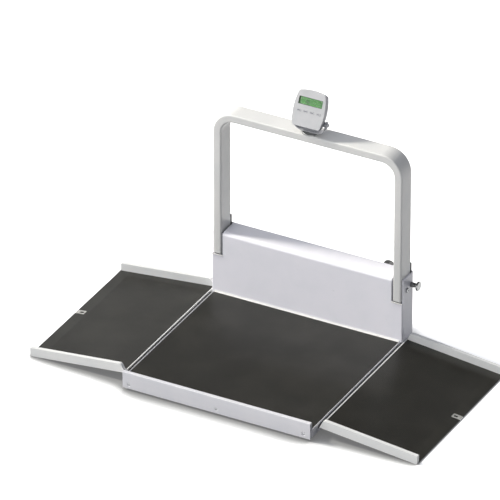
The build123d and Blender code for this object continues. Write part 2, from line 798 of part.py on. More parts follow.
swivel_y = platform_rear_y + castor_plate_thickness + castor_bearing_height + fit_gap
for name, side, trail in (("right", 1, castor_trail), ("left", -1, -castor_trail)):
    castor_x = side * wheel_x
    with BuildPart() as castor_plate_part:
        with BuildSketch(across(platform_rear_y + castor_plate_thickness)):
            with Locations((castor_x, castor_swivel_z)):
                RectangleRounded(castor_plate, castor_plate, castor_plate_corner)
        extrude(amount=castor_plate_thickness)
        with BuildSketch(across(platform_rear_y + castor_plate_thickness)):
            with Locations((castor_x, castor_swivel_z)):
                Circle(castor_bearing)
        extrude(amount=-castor_bearing_height)
        with BuildSketch(across(swivel_y - overrun)):
            with Locations((castor_x, castor_swivel_z)):
                Circle(kingpin_radius)
        extrude(amount=-(overrun + castor_cheek + fit_gap))
        with BuildSketch(across(swivel_y + castor_cheek + fit_gap)):
            with Locations((castor_x, castor_swivel_z)):
                Circle(kingpin_head)
        extrude(amount=-kingpin_head_height)
    save(castor_plate_part, f"castor_plate_{name}")

    save(fork_at(castor_x, castor_swivel_z, castor_swivel_z + trail, swivel_y, True), f"castor_fork_{name}")
    save(wheel_at(castor_x, castor_swivel_z + trail), f"castor_wheel_{name}")
    save(fork_at(castor_x, fixed_wheel_z, fixed_wheel_z, platform_rear_y, False), f"fixed_fork_{name}")
    save(wheel_at(castor_x, fixed_wheel_z), f"fixed_wheel_{name}")

# Summing box fixed to the inside of the rear cover.
with BuildPart() as summing_box:
    with BuildSketch(across(platform_rear_y - sheet)):
        with Locations((box_x, box_z)):
            RectangleRounded(box_length, box_height, box_corner)
    extrude(amount=box_depth)
    chamfer(summing_box.faces().sort_by(Axis.Y)[0].edges(), length=sheet)
save(summing_box, "summing_box")

# Ramps. The right-hand one is drawn on planes that lie along its slope: local x runs down the ramp
# and local y is square to its mat. The left-hand one is its mirror image.
ramp_drop = ramp_root_z - ramp_tip_height
ramp_length = math.hypot(ramp_run, ramp_drop)
ramp_inner_y = half_ramp - ramp_flange
ramp_under = ramp_mat + ramp_sheet
tab_start = ramp_length - tab_length
tab_hole_at = tab_start + tab_hole_inset


def along_ramp(y):
    """Returns the upright plane at depth y whose local x follows the right-hand ramp's slope."""
    return Plane(origin=(ramp_root_x, y, ramp_root_z), x_dir=(ramp_run, 0, -ramp_drop), z_dir=(0, -1, 0))


def on_ramp(height):
    """Returns the plane parallel to the right-hand ramp's mat at a height above its surface."""
    slope = Plane(
        origin=(ramp_root_x, deck_middle_y, ramp_root_z),
        x_dir=(ramp_run, 0, -ramp_drop),
        z_dir=(ramp_drop, 0, ramp_run),
    )
    return slope.offset(height)


def flange_at(rear_y):
    """Returns one boxed flange, open underneath, whose rear face lies at rear_y."""
    with BuildPart() as flange:
        with BuildSketch(along_ramp(rear_y)):
            with BuildLine():
                Polyline(
                    (ramp_flange_start, -ramp_under),
                    (ramp_flange_start, -ramp_mat),
                    (ramp_flange_rake, ramp_flange_rise),
                    (ramp_length - ramp_tip_rake, ramp_flange_rise),
                    (ramp_length, -ramp_under),
                    close=True,
                )
            make_face()
        extrude(amount=ramp_flange)
        cross_edges = flange.edges().filter_by(Axis.Y)
        fillet(cross_edges.sort_by(Axis.X)[-1], radius=ramp_tip_bend)
        cross_edges = flange.edges().filter_by(Axis.Y)
        fillet(cross_edges.sort_by(Axis.Z)[-1], radius=ramp_root_bend)
        offset(amount=-ramp_flange_sheet, openings=flange.faces().sort_by(Axis.Z)[0])
    return flange


# Ramp body: the sheet, folded up into a lip beside the hinge, between its two flanges.
ramp_rear_y = deck_middle_y + half_ramp
sheet_rear_y = deck_middle_y + ramp_inner_y + ramp_flange_sheet / 2
with BuildPart() as ramp_body_right:
    with BuildSketch(along_ramp(sheet_rear_y)):
        with BuildLine():
            Polyline(
                (ramp_lip_start, -ramp_under),
                (ramp_lip_start, ramp_lip_rise),
                (ramp_lip_end, ramp_lip_rise),
                (ramp_lip_end, -ramp_mat),
                (ramp_length, -ramp_mat),
                (ramp_length, -ramp_under),
                close=True,
            )
        make_face()
    extrude(amount=2 * ramp_inner_y + ramp_flange_sheet)
    add(flange_at(ramp_rear_y).part)
    add(flange_at(ramp_rear_y - 2 * half_ramp + ramp_flange).part)
    # Wedge ribs that carry the sheet on the floor.
    for index in range(wedge_count):
        wedge_y = deck_middle_y + (index - (wedge_count - 1) / 2) * wedge_pitch + wedge_sheet / 2
        sink = ramp_drop / ramp_run
        under_z = ramp_root_z - ramp_under
        with BuildSketch(across(wedge_y)):
            with BuildLine():
                Polyline(
                    (ramp_root_x + wedge_start, wedge_foot),
                    (ramp_root_x + wedge_start, under_z - wedge_start * sink),
                    (ramp_root_x + wedge_end, under_z - wedge_end * sink),
                    (ramp_root_x + wedge_end, wedge_foot),
                    close=True,
                )
            make_face()
        extrude(amount=wedge_sheet)
save(ramp_body_right, "ramp_body_right")
save(mirrored(ramp_body_right), "ramp_body_left")

# Hinge strip under the ramp's edge. Knuckles alternate along the hinge: odd ones belong to the strip
# and even ones to the leaf below it.
knuckle_pitch = (leaf_rear_y - leaf_front_y) / knuckle_count
hinge_along = ((hinge_x - ramp_root_x) * ramp_run - (hinge_z - ramp_root_z) * ramp_drop) / ramp_length
with BuildPart() as hinge_strip_right:
    with BuildSketch(along_ramp(leaf_rear_y)):
        with Locations((strip_width / 2, -ramp_under - strip_sheet / 2)):
            Rectangle(strip_width, strip_sheet)
    extrude(amount=leaf_rear_y - leaf_front_y)
    for index in range(1, knuckle_count, 2):
        knuckle_end = leaf_front_y + (index + 1) * knuckle_pitch - knuckle_gap / 2
        with BuildSketch(across(knuckle_end)):
            with Locations((hinge_x, hinge_z)):
                Circle(knuckle_radius)
        extrude(amount=knuckle_pitch - knuckle_gap)
        with BuildSketch(along_ramp(knuckle_end)):
            with Locations((hinge_along / 2, -ramp_under - strip_sheet / 2)):
                Rectangle(-hinge_along, strip_sheet)
        extrude(amount=knuckle_pitch - knuckle_gap)
    with BuildSketch(across(leaf_rear_y)):
        with Locations((hinge_x, hinge_z)):
            Circle(hinge_pin / 2 + running_gap)
    extrude(amount=leaf_rear_y - leaf_front_y, mode=Mode.SUBTRACT)
save(hinge_strip_right, "hinge_strip_right")
save(mirrored(hinge_strip_right), "hinge_strip_left")

# Ramp mat, cut out round the tab.
with BuildPart() as ramp_mat_right:
    with BuildSketch(on_ramp(-ramp_mat)):
        with Locations((ramp_length / 2, 0)):
            Rectangle(ramp_length, 2 * (ramp_inner_y - fit_gap))
        with Locations((ramp_length - tab_length / 2, 0)):
            Rectangle(tab_length + 2 * fit_gap, tab_width + 2 * fit_gap, mode=Mode.SUBTRACT)
    extrude(amount=ramp_mat)
save(ramp_mat_right, "ramp_mat_right")
save(mirrored(ramp_mat_right), "ramp_mat_left")

# Tab at the ramp's tip, with an oval hole to lift or hang the ramp by.
with BuildPart() as ramp_tab_right:
    with BuildSketch(on_ramp(-ramp_mat)):
        with Locations((ramp_length - tab_length / 2, 0)):
            RectangleRounded(tab_length, tab_width, tab_corner)
        with Locations((tab_hole_at, 0)):
            SlotOverall(tab_hole_length, tab_hole, mode=Mode.SUBTRACT)
    extrude(amount=tab_thickness)
save(ramp_tab_right, "ramp_tab_right")
save(mirrored(ramp_tab_right), "ramp_tab_left")

# Leaf that stands in the hook rail's slot, with its knuckles and the hinge pin.
leaf_outer_x = hook_outer_x - leaf_side_gap
leaf_base = hook_floor_top + fit_gap
with BuildPart() as hook_leaf_right:
    with BuildSketch(across(leaf_rear_y)):
        with BuildLine():
            Polyline(
                (hook_inner_x + leaf_side_gap, leaf_base),
                (hook_inner_x + leaf_side_gap, leaf_base + leaf_block_height),
                (leaf_outer_x - leaf_sheet, leaf_base + leaf_block_height),
                (leaf_outer_x - leaf_sheet, hinge_z - leaf_top_drop),
                (leaf_outer_x, hinge_z - leaf_top_drop),
                (leaf_outer_x, leaf_base),
                close=True,
            )
        make_face()
    extrude(amount=leaf_rear_y - leaf_front_y)
    for index in range(0, knuckle_count, 2):
        knuckle_end = leaf_front_y + (index + 1) * knuckle_pitch - knuckle_gap / 2
        with BuildSketch(across(knuckle_end)):
            with Locations((hinge_x, hinge_z)):
                Circle(knuckle_radius)
            with Locations((leaf_outer_x - leaf_sheet / 2, hinge_z - leaf_top_drop / 2)):
                Rectangle(leaf_sheet, leaf_top_drop)
        extrude(amount=knuckle_pitch - knuckle_gap)
    with BuildSketch(across(leaf_rear_y)):
        with Locations((hinge_x, hinge_z)):
            Circle(hinge_pin / 2)
    extrude(amount=leaf_rear_y - leaf_front_y)
save(hook_leaf_right, "hook_leaf_right")
save(mirrored(hook_leaf_right), "hook_leaf_left")

# Indicator head. Its sketches lie on planes parallel to the leaning face: local y runs up the face,
# and a plane's depth is measured back from the face.
lean = math.radians(head_lean)
head_back_dir = (0, math.cos(lean), -math.sin(lean))


def head_plane(depth):
    """Returns the plane parallel to the head's face at a depth behind it; it looks to the front."""
    origin = (0, head_front_y + depth * head_back_dir[1], head_base_z + depth * head_back_dir[2])
    return Plane(origin=origin, x_dir=(1, 0, 0), z_dir=(0, -head_back_dir[1], -head_back_dir[2]))


def draw_case(depth, inset):
    """Returns the case's outline at a depth, drawn in by inset all round."""
    foot = head_foot_half - inset
    waist = head_waist_half - inset
    crown = head_crown_half - inset
    with BuildSketch(head_plane(depth)) as outline:
        with BuildLine():
            Line((-foot, inset), (foot, inset))
            ThreePointArc((foot, inset), (waist, head_waist_rise), (crown, head_shoulder_rise - inset))
            ThreePointArc(
                (crown, head_shoulder_rise - inset),
                (0, head_face_height - inset),
                (-crown, head_shoulder_rise - inset),
            )
            ThreePointArc((-crown, head_shoulder_rise - inset), (-waist, head_waist_rise), (-foot, inset))
        make_face()
        fillet(outline.vertices(), radius=head_corner - inset / 2)
    return outline


tilt_y = head_front_y + tilt_rise * math.sin(lean) + tilt_set_back * math.cos(lean)
tilt_z = head_base_z + tilt_rise * math.cos(lean) - tilt_set_back * math.sin(lean)

with BuildPart() as head_bezel_part:
    extrude(draw_case(head_bezel, 0).sketch, amount=head_bezel)
    front_face = head_bezel_part.faces().sort_by(Axis((0, 0, 0), head_back_dir))[0]
    fillet(front_face.edges(), radius=head_edge)
    extrude(draw_case(head_bezel, head_wall).sketch, amount=head_bezel - head_wall, mode=Mode.SUBTRACT)
    with BuildSketch(head_plane(head_bezel)):
        with Locations((0, window_rise)):
            RectangleRounded(window_width, window_height, head_edge)
        with Locations((0, key_rise)):
            with GridLocations(key_pitch, 0, key_count, 1):
                RectangleRounded(key_width + 2 * fit_gap, key_height + 2 * fit_gap, key_corner)
    extrude(amount=2 * head_bezel, mode=Mode.SUBTRACT)
save(head_bezel_part, "head_bezel")

with BuildPart() as head_back_part:
    rim_depth = head_bezel + fit_gap
    back_rise = head_depth - rim_depth
    draft = math.degrees(math.atan2(head_back_inset, back_rise))
    extrude(draw_case(rim_depth, 0).sketch, amount=-back_rise, taper=draft)
    hollow = draw_case(rim_depth, head_wall).sketch
    extrude(hollow, amount=head_wall - back_rise, taper=draft, mode=Mode.SUBTRACT)
    # Bosses that the tilt knobs screw into.
    for side in (-1, 1):
        inner_x = head_foot_half - head_back_inset
        with BuildSketch(endwise(side * (yoke_ear_x - tilt_gap))):
            with Locations((tilt_y, tilt_z)):
                Circle(tilt_boss / 2)
        extrude(amount=-side * (yoke_ear_x - tilt_gap - inner_x))
        with BuildSketch(endwise(side * yoke_ear_x)):
            with Locations((tilt_y, tilt_z)):
                Circle(tilt_screw / 2 + running_gap)
        extrude(amount=-side * (tilt_screw_depth + sheet), mode=Mode.SUBTRACT)
save(head_back_part, "head_back")

# Window with a flange behind the bezel.
with BuildPart() as head_window:
    with BuildSketch(head_plane(head_wall + fit_gap)):
        with Locations((0, window_rise)):
            RectangleRounded(window_width - fit_gap, window_height - fit_gap, head_edge)
    extrude(amount=head_wall + fit_gap - window_inset)
    with BuildSketch(head_plane(head_wall + fit_gap + window_flange_thickness)):
        with Locations((0, window_rise)):
            RectangleRounded(window_width + 2 * window_flange, window_height + 2 * window_flange, head_edge)
    extrude(amount=window_flange_thickness)
save(head_window, "head_window")

# Circuit board with the display block and a switch behind every key.
board_front = head_wall + board_set_back
window_back = head_wall + fit_gap + window_flange_thickness
key_rear = key_depth - key_proud
with BuildPart() as head_board:
    with BuildSketch(head_plane(board_front + board_thickness)):
        with Locations((0, board_rise)):
            Rectangle(board_width, board_height)
    extrude(amount=board_thickness)
    with BuildSketch(head_plane(board_front)):
        with Locations((0, window_rise)):
            Rectangle(window_width, display_block_height)
    extrude(amount=board_front - window_back - display_block_gap)
    with BuildSketch(head_plane(board_front)):
        with Locations((0, key_rise)):
            with GridLocations(key_pitch, 0, key_count, 1):
                Circle(switch_radius)
    extrude(amount=board_front - key_rear - key_travel - fit_gap)
save(head_board, "head_board")

# Keys, each with a flange that keeps it behind the bezel.
for index in range(key_count):
    key_x = (index - (key_count - 1) / 2) * key_pitch
    with BuildPart() as key:
        with BuildSketch(head_plane(key_rear)):
            with Locations((key_x, key_rise)):
                RectangleRounded(key_width, key_height, key_corner)
        extrude(amount=key_depth)
        face_edges = key.faces().sort_by(Axis((0, 0, 0), head_back_dir))[0].edges()
        fillet(face_edges, radius=key_proud / 2)
        with BuildSketch(head_plane(key_rear)):
            with Locations((key_x, key_rise)):
                RectangleRounded(key_width + 2 * key_flange, key_height + 2 * key_flange, key_corner)
        extrude(amount=key_flange)
    save(key, f"key_{index + 1}")

# Battery cover on the back of the case, with a finger ridge near its lower edge.
with BuildPart() as battery_cover:
    with BuildSketch(head_plane(head_depth + battery_cover_thickness)):
        with Locations((0, battery_cover_rise)):
            RectangleRounded(battery_cover_width, battery_cover_height, head_edge)
    extrude(amount=battery_cover_thickness)
    with BuildSketch(head_plane(head_depth + battery_cover_thickness)):
        with Locations((0, battery_cover_rise - battery_ridge_drop)):
            SlotOverall(battery_ridge_length, 2 * battery_cover_thickness)
    extrude(amount=-battery_cover_thickness)
save(battery_cover, "battery_cover")

# Cable gland on the back of the case.
with BuildPart() as cable_gland:
    with BuildSketch(head_plane(head_depth)):
        with Locations((gland_x, gland_rise)):
            RegularPolygon(gland_nut / 2, 6)
    extrude(amount=-gland_nut_height)
    with BuildSketch(head_plane(head_depth)):
        with Locations((gland_x, gland_rise)):
            Circle(gland_radius)
    extrude(amount=-gland_height)
    fillet(cable_gland.faces().sort_by(Axis((0, 0, 0), head_back_dir))[-1].edges(), radius=sheet)
    with BuildSketch(head_plane(head_depth)):
        with Locations((gland_x, gland_rise)):
            Circle(gland_bore)
    extrude(amount=-2 * gland_height, mode=Mode.SUBTRACT)
save(cable_gland, "cable_gland")

# Round base on the rail, with a groove round it, and the yoke on top of it: a strap bent up at both ends
# into the ears that the head tilts between.
yoke_base = rail_height + pad_thickness
with BuildPart() as yoke_pad:
    with BuildSketch(Plane.XY.offset(rail_height)):
        with Locations((0, tilt_y)):
            Circle(pad_radius)
    extrude(amount=pad_thickness)
    chamfer(yoke_pad.faces().sort_by(Axis.Z)[-1].edges(), length=pad_edge)
    with BuildSketch(Plane.XY.offset(rail_height + pad_edge)):
        with Locations((0, tilt_y)):
            Circle(pad_radius + overrun)
            Circle(pad_radius - pad_groove, mode=Mode.SUBTRACT)
    extrude(amount=pad_groove, mode=Mode.SUBTRACT)
save(yoke_pad, "yoke_pad")

yoke_outer_x = yoke_ear_x + yoke_sheet
bend_x = yoke_outer_x - yoke_bend
bend_z = yoke_base + yoke_bend
with BuildPart() as tilt_yoke:
    with BuildSketch(across(tilt_y + yoke_width / 2)):
        with BuildLine():
            RadiusArc((-yoke_outer_x, bend_z), (-bend_x, yoke_base), -yoke_bend)
            Line((-bend_x, yoke_base), (bend_x, yoke_base))
            RadiusArc((bend_x, yoke_base), (yoke_outer_x, bend_z), -yoke_bend)
            Polyline(
                (yoke_outer_x, bend_z),
                (yoke_outer_x, tilt_z + yoke_width / 2),
                (yoke_ear_x, tilt_z + yoke_width / 2),
                (yoke_ear_x, bend_z),
            )
            RadiusArc((yoke_ear_x, bend_z), (bend_x, yoke_base + yoke_sheet), yoke_bend - yoke_sheet)
            Line((bend_x, yoke_base + yoke_sheet), (-bend_x, yoke_base + yoke_sheet))
            RadiusArc((-bend_x, yoke_base + yoke_sheet), (-yoke_ear_x, bend_z), yoke_bend - yoke_sheet)
            Polyline(
                (-yoke_ear_x, bend_z),
                (-yoke_ear_x, tilt_z + yoke_width / 2),
                (-yoke_outer_x, tilt_z + yoke_width / 2),
                (-yoke_outer_x, bend_z),
            )
        make_face()
    extrude(amount=yoke_width)
    ear_corners = tilt_yoke.edges().filter_by(Axis.X).group_by(Axis.Z)[-1]
    fillet(ear_corners, radius=yoke_width / 2 - fit_gap)
    with BuildSketch(endwise(-2 * yoke_ear_x)):
        with Locations((tilt_y, tilt_z)):
            Circle(tilt_screw / 2 + running_gap)
    extrude(amount=4 * yoke_ear_x, mode=Mode.SUBTRACT)
save(tilt_yoke, "tilt_yoke")

# Fluted tilt knobs with the screws that clamp the head between the ears.
knob_inner_x = yoke_outer_x + fit_gap
with BuildPart() as tilt_knob_right:
    with BuildSketch(endwise(knob_inner_x)):
        with Locations((tilt_y, tilt_z)):
            Circle(knob_radius)
            with PolarLocations(knob_radius + knob_flute_radius / 2, knob_flutes):
                Circle(knob_flute_radius, mode=Mode.SUBTRACT)
    extrude(amount=knob_thickness)
    with BuildSketch(endwise(yoke_ear_x - tilt_screw_depth)):
        with Locations((tilt_y, tilt_z)):
            Circle(tilt_screw / 2)
    extrude(amount=knob_inner_x - yoke_ear_x + tilt_screw_depth)
save(tilt_knob_right, "tilt_knob_right")
save(mirrored(tilt_knob_right), "tilt_knob_left")
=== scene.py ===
"""Dresses the wheelchair scale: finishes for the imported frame, small fittings, light and camera."""

import logging
import math
from collections.abc import Callable, Iterable, Sequence
from dataclasses import dataclass
from enum import Enum
from typing import Any

import bmesh
import bpy
from mathutils import Matrix, Vector

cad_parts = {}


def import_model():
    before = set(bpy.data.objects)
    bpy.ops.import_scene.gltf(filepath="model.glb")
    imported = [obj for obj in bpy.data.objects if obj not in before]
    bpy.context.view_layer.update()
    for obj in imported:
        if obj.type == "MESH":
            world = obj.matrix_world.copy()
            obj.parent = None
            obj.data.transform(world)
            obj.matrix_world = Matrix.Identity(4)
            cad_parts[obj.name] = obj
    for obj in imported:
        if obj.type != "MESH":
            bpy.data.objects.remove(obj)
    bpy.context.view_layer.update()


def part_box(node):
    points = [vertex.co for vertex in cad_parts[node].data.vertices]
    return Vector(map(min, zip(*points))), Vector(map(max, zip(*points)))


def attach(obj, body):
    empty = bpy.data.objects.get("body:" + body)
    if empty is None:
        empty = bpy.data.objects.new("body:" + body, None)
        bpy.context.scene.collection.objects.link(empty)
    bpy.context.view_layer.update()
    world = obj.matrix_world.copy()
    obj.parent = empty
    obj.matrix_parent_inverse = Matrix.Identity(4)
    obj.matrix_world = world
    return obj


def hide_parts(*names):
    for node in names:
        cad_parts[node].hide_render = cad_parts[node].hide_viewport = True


LOG = logging.getLogger("wheelchair_scale")
BMesh = bmesh.types.BMesh
Mesh = bpy.types.Mesh
Node = bpy.types.Node
Object = bpy.types.Object
Socket = bpy.types.NodeSocket
Tree = bpy.types.NodeTree
Colour = tuple[float, float, float]
Point = tuple[float, float, float]
Profile = Sequence[tuple[float, float]]
Bars = Sequence[Sequence[float]]
Look = dict[str, Any]
MM = 0.001
SHARP_ANGLE = math.radians(35)
WHITE = (1.0, 1.0, 1.0)
BLACK = (0.0, 0.0, 0.0)


def srgb(red: int, green: int, blue: int) -> Colour:
    """Turns a colour as it is seen on a screen, from 0 to 255, into linear light.

    Args:
        red: The red level.
        green: The green level.
        blue: The blue level.

    Returns:
        The three linear values.
    """
    shares = (red / 255, green / 255, blue / 255)
    return tuple(s / 12.92 if s <= 0.04045 else ((s + 0.055) / 1.055) ** 2.4 for s in shares)


SCUFF_TONE = srgb(205, 206, 209)
PAINT_DUST = srgb(222, 219, 211)
PLASTIC_DUST = srgb(206, 203, 196)
MAT_DUST = srgb(120, 117, 108)
SPECK_TONE = srgb(92, 91, 86)


class Side(Enum):
    """The two ends of the scale, with the sign of their X."""

    RIGHT = 1
    LEFT = -1

    @property
    def word(self) -> str:
        """The side's name as the CAD nodes write it."""
        return self.name.lower()


class Sheet:
    """A node tree under construction, with short calls that place and join its nodes."""

    def __init__(self, tree: Tree) -> None:
        """Takes the tree to build in."""
        self.tree = tree

    @classmethod
    def fresh(cls, owner: Any) -> "Sheet":
        """Empties the node tree of a material or world.

        Args:
            owner: The material or world.

        Returns:
            The sheet of its tree.
        """
        owner.use_nodes = True
        owner.node_tree.nodes.clear()
        return cls(owner.node_tree)

    def fill(self, socket: Socket, value: Any) -> None:
        """Links a value to a socket or sets it.

        Args:
            socket: The input.
            value: A socket, or a plain value; a bare colour is made opaque.
        """
        if isinstance(value, Socket):
            self.tree.links.new(value, socket)
        else:
            socket.default_value = (*value, 1.0) if socket.type == "RGBA" else value

    def place(self, kind: str, values: dict[Any, Any] | None = None, **settings: Any) -> Node:
        """Adds a node.

        Args:
            kind: The node's type, such as ShaderNodeMath.
            values: Socket values or links by socket name or index.
            settings: Attributes of the node itself.

        Returns:
            The new node.
        """
        node = self.tree.nodes.new(kind)
        for name, value in settings.items():
            setattr(node, name, value)
        for key, value in (values or {}).items():
            self.fill(node.inputs[key], value)
        return node

    def use(self, maker: Callable[[], Tree], **inputs: Any) -> Any:
        """Adds a texture's node group and returns its outputs; inputs have underscores for spaces."""
        values = {label.replace("_", " "): value for label, value in inputs.items()}
        return self.place("ShaderNodeGroup", values, node_tree=maker()).outputs

    def math(self, operation: str, *terms: Any, clamp: bool = False) -> Socket:
        """Adds a Math node and returns its value."""
        values = dict(enumerate(terms))
        return self.place("ShaderNodeMath", values, operation=operation, use_clamp=clamp).outputs[0]

    def ramp(self, value: Socket, low: float, high: float) -> Socket:
        """Stretches the values between low and high over 0 to 1, smoothly."""
        values = {"Value": value, "From Min": low, "From Max": high}
        return self.place("ShaderNodeMapRange", values, interpolation_type="SMOOTHSTEP").outputs["Result"]

    def blend(self, share: Any, first: Any, second: Any) -> Socket:
        """Mixes two colours.

        Args:
            share: How much of the second there is.
            first: The first colour.
            second: The second colour.

        Returns:
            The mixed colour.
        """
        node = self.place("ShaderNodeMix", {0: share}, data_type="RGBA")
        for socket, value in zip((s for s in node.inputs if s.type == "RGBA"), (first, second)):
            self.fill(socket, value)
        return next(s for s in node.outputs if s.type == "RGBA")

    def spot(self) -> Socket:
        """Returns the object coordinates of the shaded point."""
        return self.place("ShaderNodeTexCoord").outputs["Object"]

    def noise(self, scale: Any, detail: float, at: Socket | None = None) -> Socket:
        """Returns noise on the object coordinates, or on another vector."""
        values = {"Vector": at or self.spot(), "Scale": scale, "Detail": detail}
        return self.place("ShaderNodeTexNoise", values).outputs[0]

    def bump(self, height: Socket, strength: float, depth: float) -> Socket:
        """Returns a normal bumped by height."""
        values = {"Height": height, "Strength": strength, "Distance": depth}
        return self.place("ShaderNodeBump", values).outputs["Normal"]


def texture(name: str, outputs: Sequence[str], **inputs: float) -> Callable:
    """Turns a function that fills a shader node group into one that makes the group once.

    Args:
        name: The group's name.
        outputs: The names of its float outputs.
        inputs: Its float inputs with their defaults, written with underscores for spaces.

    Returns:
        The decorator for such a function.
    """

    def wrap(build: Callable[[Sheet, Any], dict[str, Socket]]) -> Callable[[], Tree]:
        """Wraps one function.

        Args:
            build: Fills the group and returns its outputs.

        Returns:
            The function that fetches the group.
        """

        def fetch() -> Tree:
            """Builds the group at the first call.

            Returns:
                The group.
            """
            found = bpy.data.node_groups.get(name)
            if found:
                return found
            tree = bpy.data.node_groups.new(name, "ShaderNodeTree")
            sockets = [(label.replace("_", " "), "INPUT") for label in inputs]
            for label, way in sockets + [(label, "OUTPUT") for label in outputs]:
                socket = tree.interface.new_socket(name=label, in_out=way, socket_type="NodeSocketFloat")
                if way == "INPUT":
                    socket.default_value = inputs[label.replace(" ", "_")]
            sheet = Sheet(tree)
            sheet.place("NodeGroupOutput", build(sheet, sheet.place("NodeGroupInput").outputs))
            return tree

        return fetch

    return wrap


@texture("coat texture", ("Height", "Mottle"), Peel_Scale=900.0, Mottle_Scale=9.0)
def coat_texture(sheet: Sheet, given: Any) -> dict[str, Socket]:
    """Builds the fine orange peel and soft mottle of powder coat and moulded plastic.

    Args:
        sheet: The group's sheet.
        given: The group's inputs.

    Returns:
        The group's outputs by name.
    """
    mottle = sheet.noise(given["Mottle Scale"], 4.0)
    return {"Height": sheet.noise(given["Peel Scale"], 2.0), "Mottle": sheet.ramp(mottle, 0.3, 0.7)}


@texture("settled dust", ("Mask",), Patch_Scale=7.0, Amount=0.3)
def dust_texture(sheet: Sheet, given: Any) -> dict[str, Socket]:
    """Builds a mask of settled dust: patchy, and only on faces that look up.

    Args:
        sheet: The group's sheet.
        given: The group's inputs.

    Returns:
        The group's outputs by name.
    """
    normal = sheet.place("ShaderNodeNewGeometry").outputs["Normal"]
    up = sheet.ramp(sheet.place("ShaderNodeSeparateXYZ", {0: normal}).outputs["Z"], 0.2, 0.95)
    spread = sheet.ramp(sheet.noise(given["Patch Scale"], 6.0), 0.38, 0.72)
    return {"Mask": sheet.math("MULTIPLY", sheet.math("MULTIPLY", up, spread), given["Amount"], clamp=True)}


@texture("fine scuffs", ("Mask",), Scale=60.0, Amount=0.5)
def scuff_texture(sheet: Sheet, given: Any) -> dict[str, Socket]:
    """Builds a mask of short fine scratches, thinned out by a coarser pattern.

    Args:
        sheet: The group's sheet.
        given: The group's inputs.

    Returns:
        The group's outputs by name.
    """
    values = {"Vector": sheet.spot(), "Rotation": (0.3, 0.5, 0.9), "Scale": (1.0, 9.0, 3.0)}
    turned = sheet.place("ShaderNodeMapping", values).outputs[0]
    lines = sheet.ramp(sheet.noise(given["Scale"], 5.0, turned), 0.62, 0.72)
    patches = sheet.ramp(sheet.noise(11.0, 2.0), 0.5, 0.7)
    few = sheet.math("MULTIPLY", lines, patches)
    return {"Mask": sheet.math("MULTIPLY", few, given["Amount"], clamp=True)}


@texture("brushed grain", ("Grain",), X=30.0, Y=1500.0, Z=1500.0)
def brushed_texture(sheet: Sheet, given: Any) -> dict[str, Socket]:
    """Builds the long grain of brushed or drawn metal, stretched along X, Y or Z by its inputs.

    Args:
        sheet: The group's sheet.
        given: The group's inputs.

    Returns:
        The group's outputs by name.
    """
    scale = sheet.place("ShaderNodeCombineXYZ", {0: given["X"], 1: given["Y"], 2: given["Z"]})
    values = {0: sheet.spot(), 1: scale.outputs[0]}
    long = sheet.place("ShaderNodeVectorMath", values, operation="MULTIPLY")
    return {"Grain": sheet.ramp(sheet.noise(1.0, 3.0, long.outputs[0]), 0.3, 0.7)}


@texture("rubber pebble", ("Height", "Specks", "Wear"), Pebble_Scale=420.0, Speck_Scale=260.0)
def speckle_texture(sheet: Sheet, given: Any) -> dict[str, Socket]:
    """Builds the pebbled surface of a rubber mat, its pale specks and its walked-on patches.

    Args:
        sheet: The group's sheet.
        given: The group's inputs.

    Returns:
        The group's outputs by name.
    """
    cells = sheet.place("ShaderNodeTexVoronoi", {"Vector": sheet.spot(), "Scale": given["Pebble Scale"]})
    return {
        "Height": sheet.math("SUBTRACT", 1.0, cells.outputs["Distance"]),
        "Specks": sheet.ramp(sheet.noise(given["Speck Scale"], 3.0), 0.6, 0.74),
        "Wear": sheet.ramp(sheet.noise(3.2, 5.0), 0.35, 0.7),
    }


@dataclass(frozen=True)
class Finish:
    """A surface finish that makes its material once."""

    name: str
    colour: Colour

    def material(self) -> bpy.types.Material:
        """Builds the finish's material at the first call.

        Returns:
            The material.
        """
        found = bpy.data.materials.get(self.name)
        if found:
            return found
        made = bpy.data.materials.new(self.name)
        sheet = Sheet.fresh(made)
        values = {label.replace("_", " "): value for label, value in self.look(sheet).items()}
        shader = sheet.place("ShaderNodeBsdfPrincipled", values)
        sheet.place("ShaderNodeOutputMaterial", {"Surface": shader.outputs[0]})
        return made

    def look(self, sheet: Sheet) -> Look:
        """Says what the finish sets on its shader.

        Args:
            sheet: The material's sheet.

        Returns:
            The sockets by name, with underscores for spaces.
        """
        raise NotImplementedError


@dataclass(frozen=True)
class PowderCoat(Finish):
    """Baked paint on sheet and tube: satin, with a fine peel, a soft mottle, dust and a few scuffs."""

    shade: Colour
    roughness: float = 0.38
    dust: float = 0.18

    def look(self, sheet: Sheet) -> Look:
        """Says what the finish sets on its shader.

        Args:
            sheet: The material's sheet.

        Returns:
            The sockets by name, with underscores for spaces.
        """
        coat = sheet.use(coat_texture)
        dust = sheet.use(dust_texture, Amount=self.dust)["Mask"]
        scuff = sheet.use(scuff_texture, Amount=0.35)["Mask"]
        worn = sheet.blend(scuff, sheet.blend(coat["Mottle"], self.colour, self.shade), SCUFF_TONE)
        rough = sheet.math("MULTIPLY_ADD", dust, 0.4, self.roughness)
        return {
            "Base_Color": sheet.blend(dust, worn, PAINT_DUST),
            "Roughness": sheet.math("MULTIPLY_ADD", scuff, 0.15, rough),
            "Normal": sheet.bump(coat["Height"], 0.12, 0.0006),
            "Specular_IOR_Level": 0.5,
        }


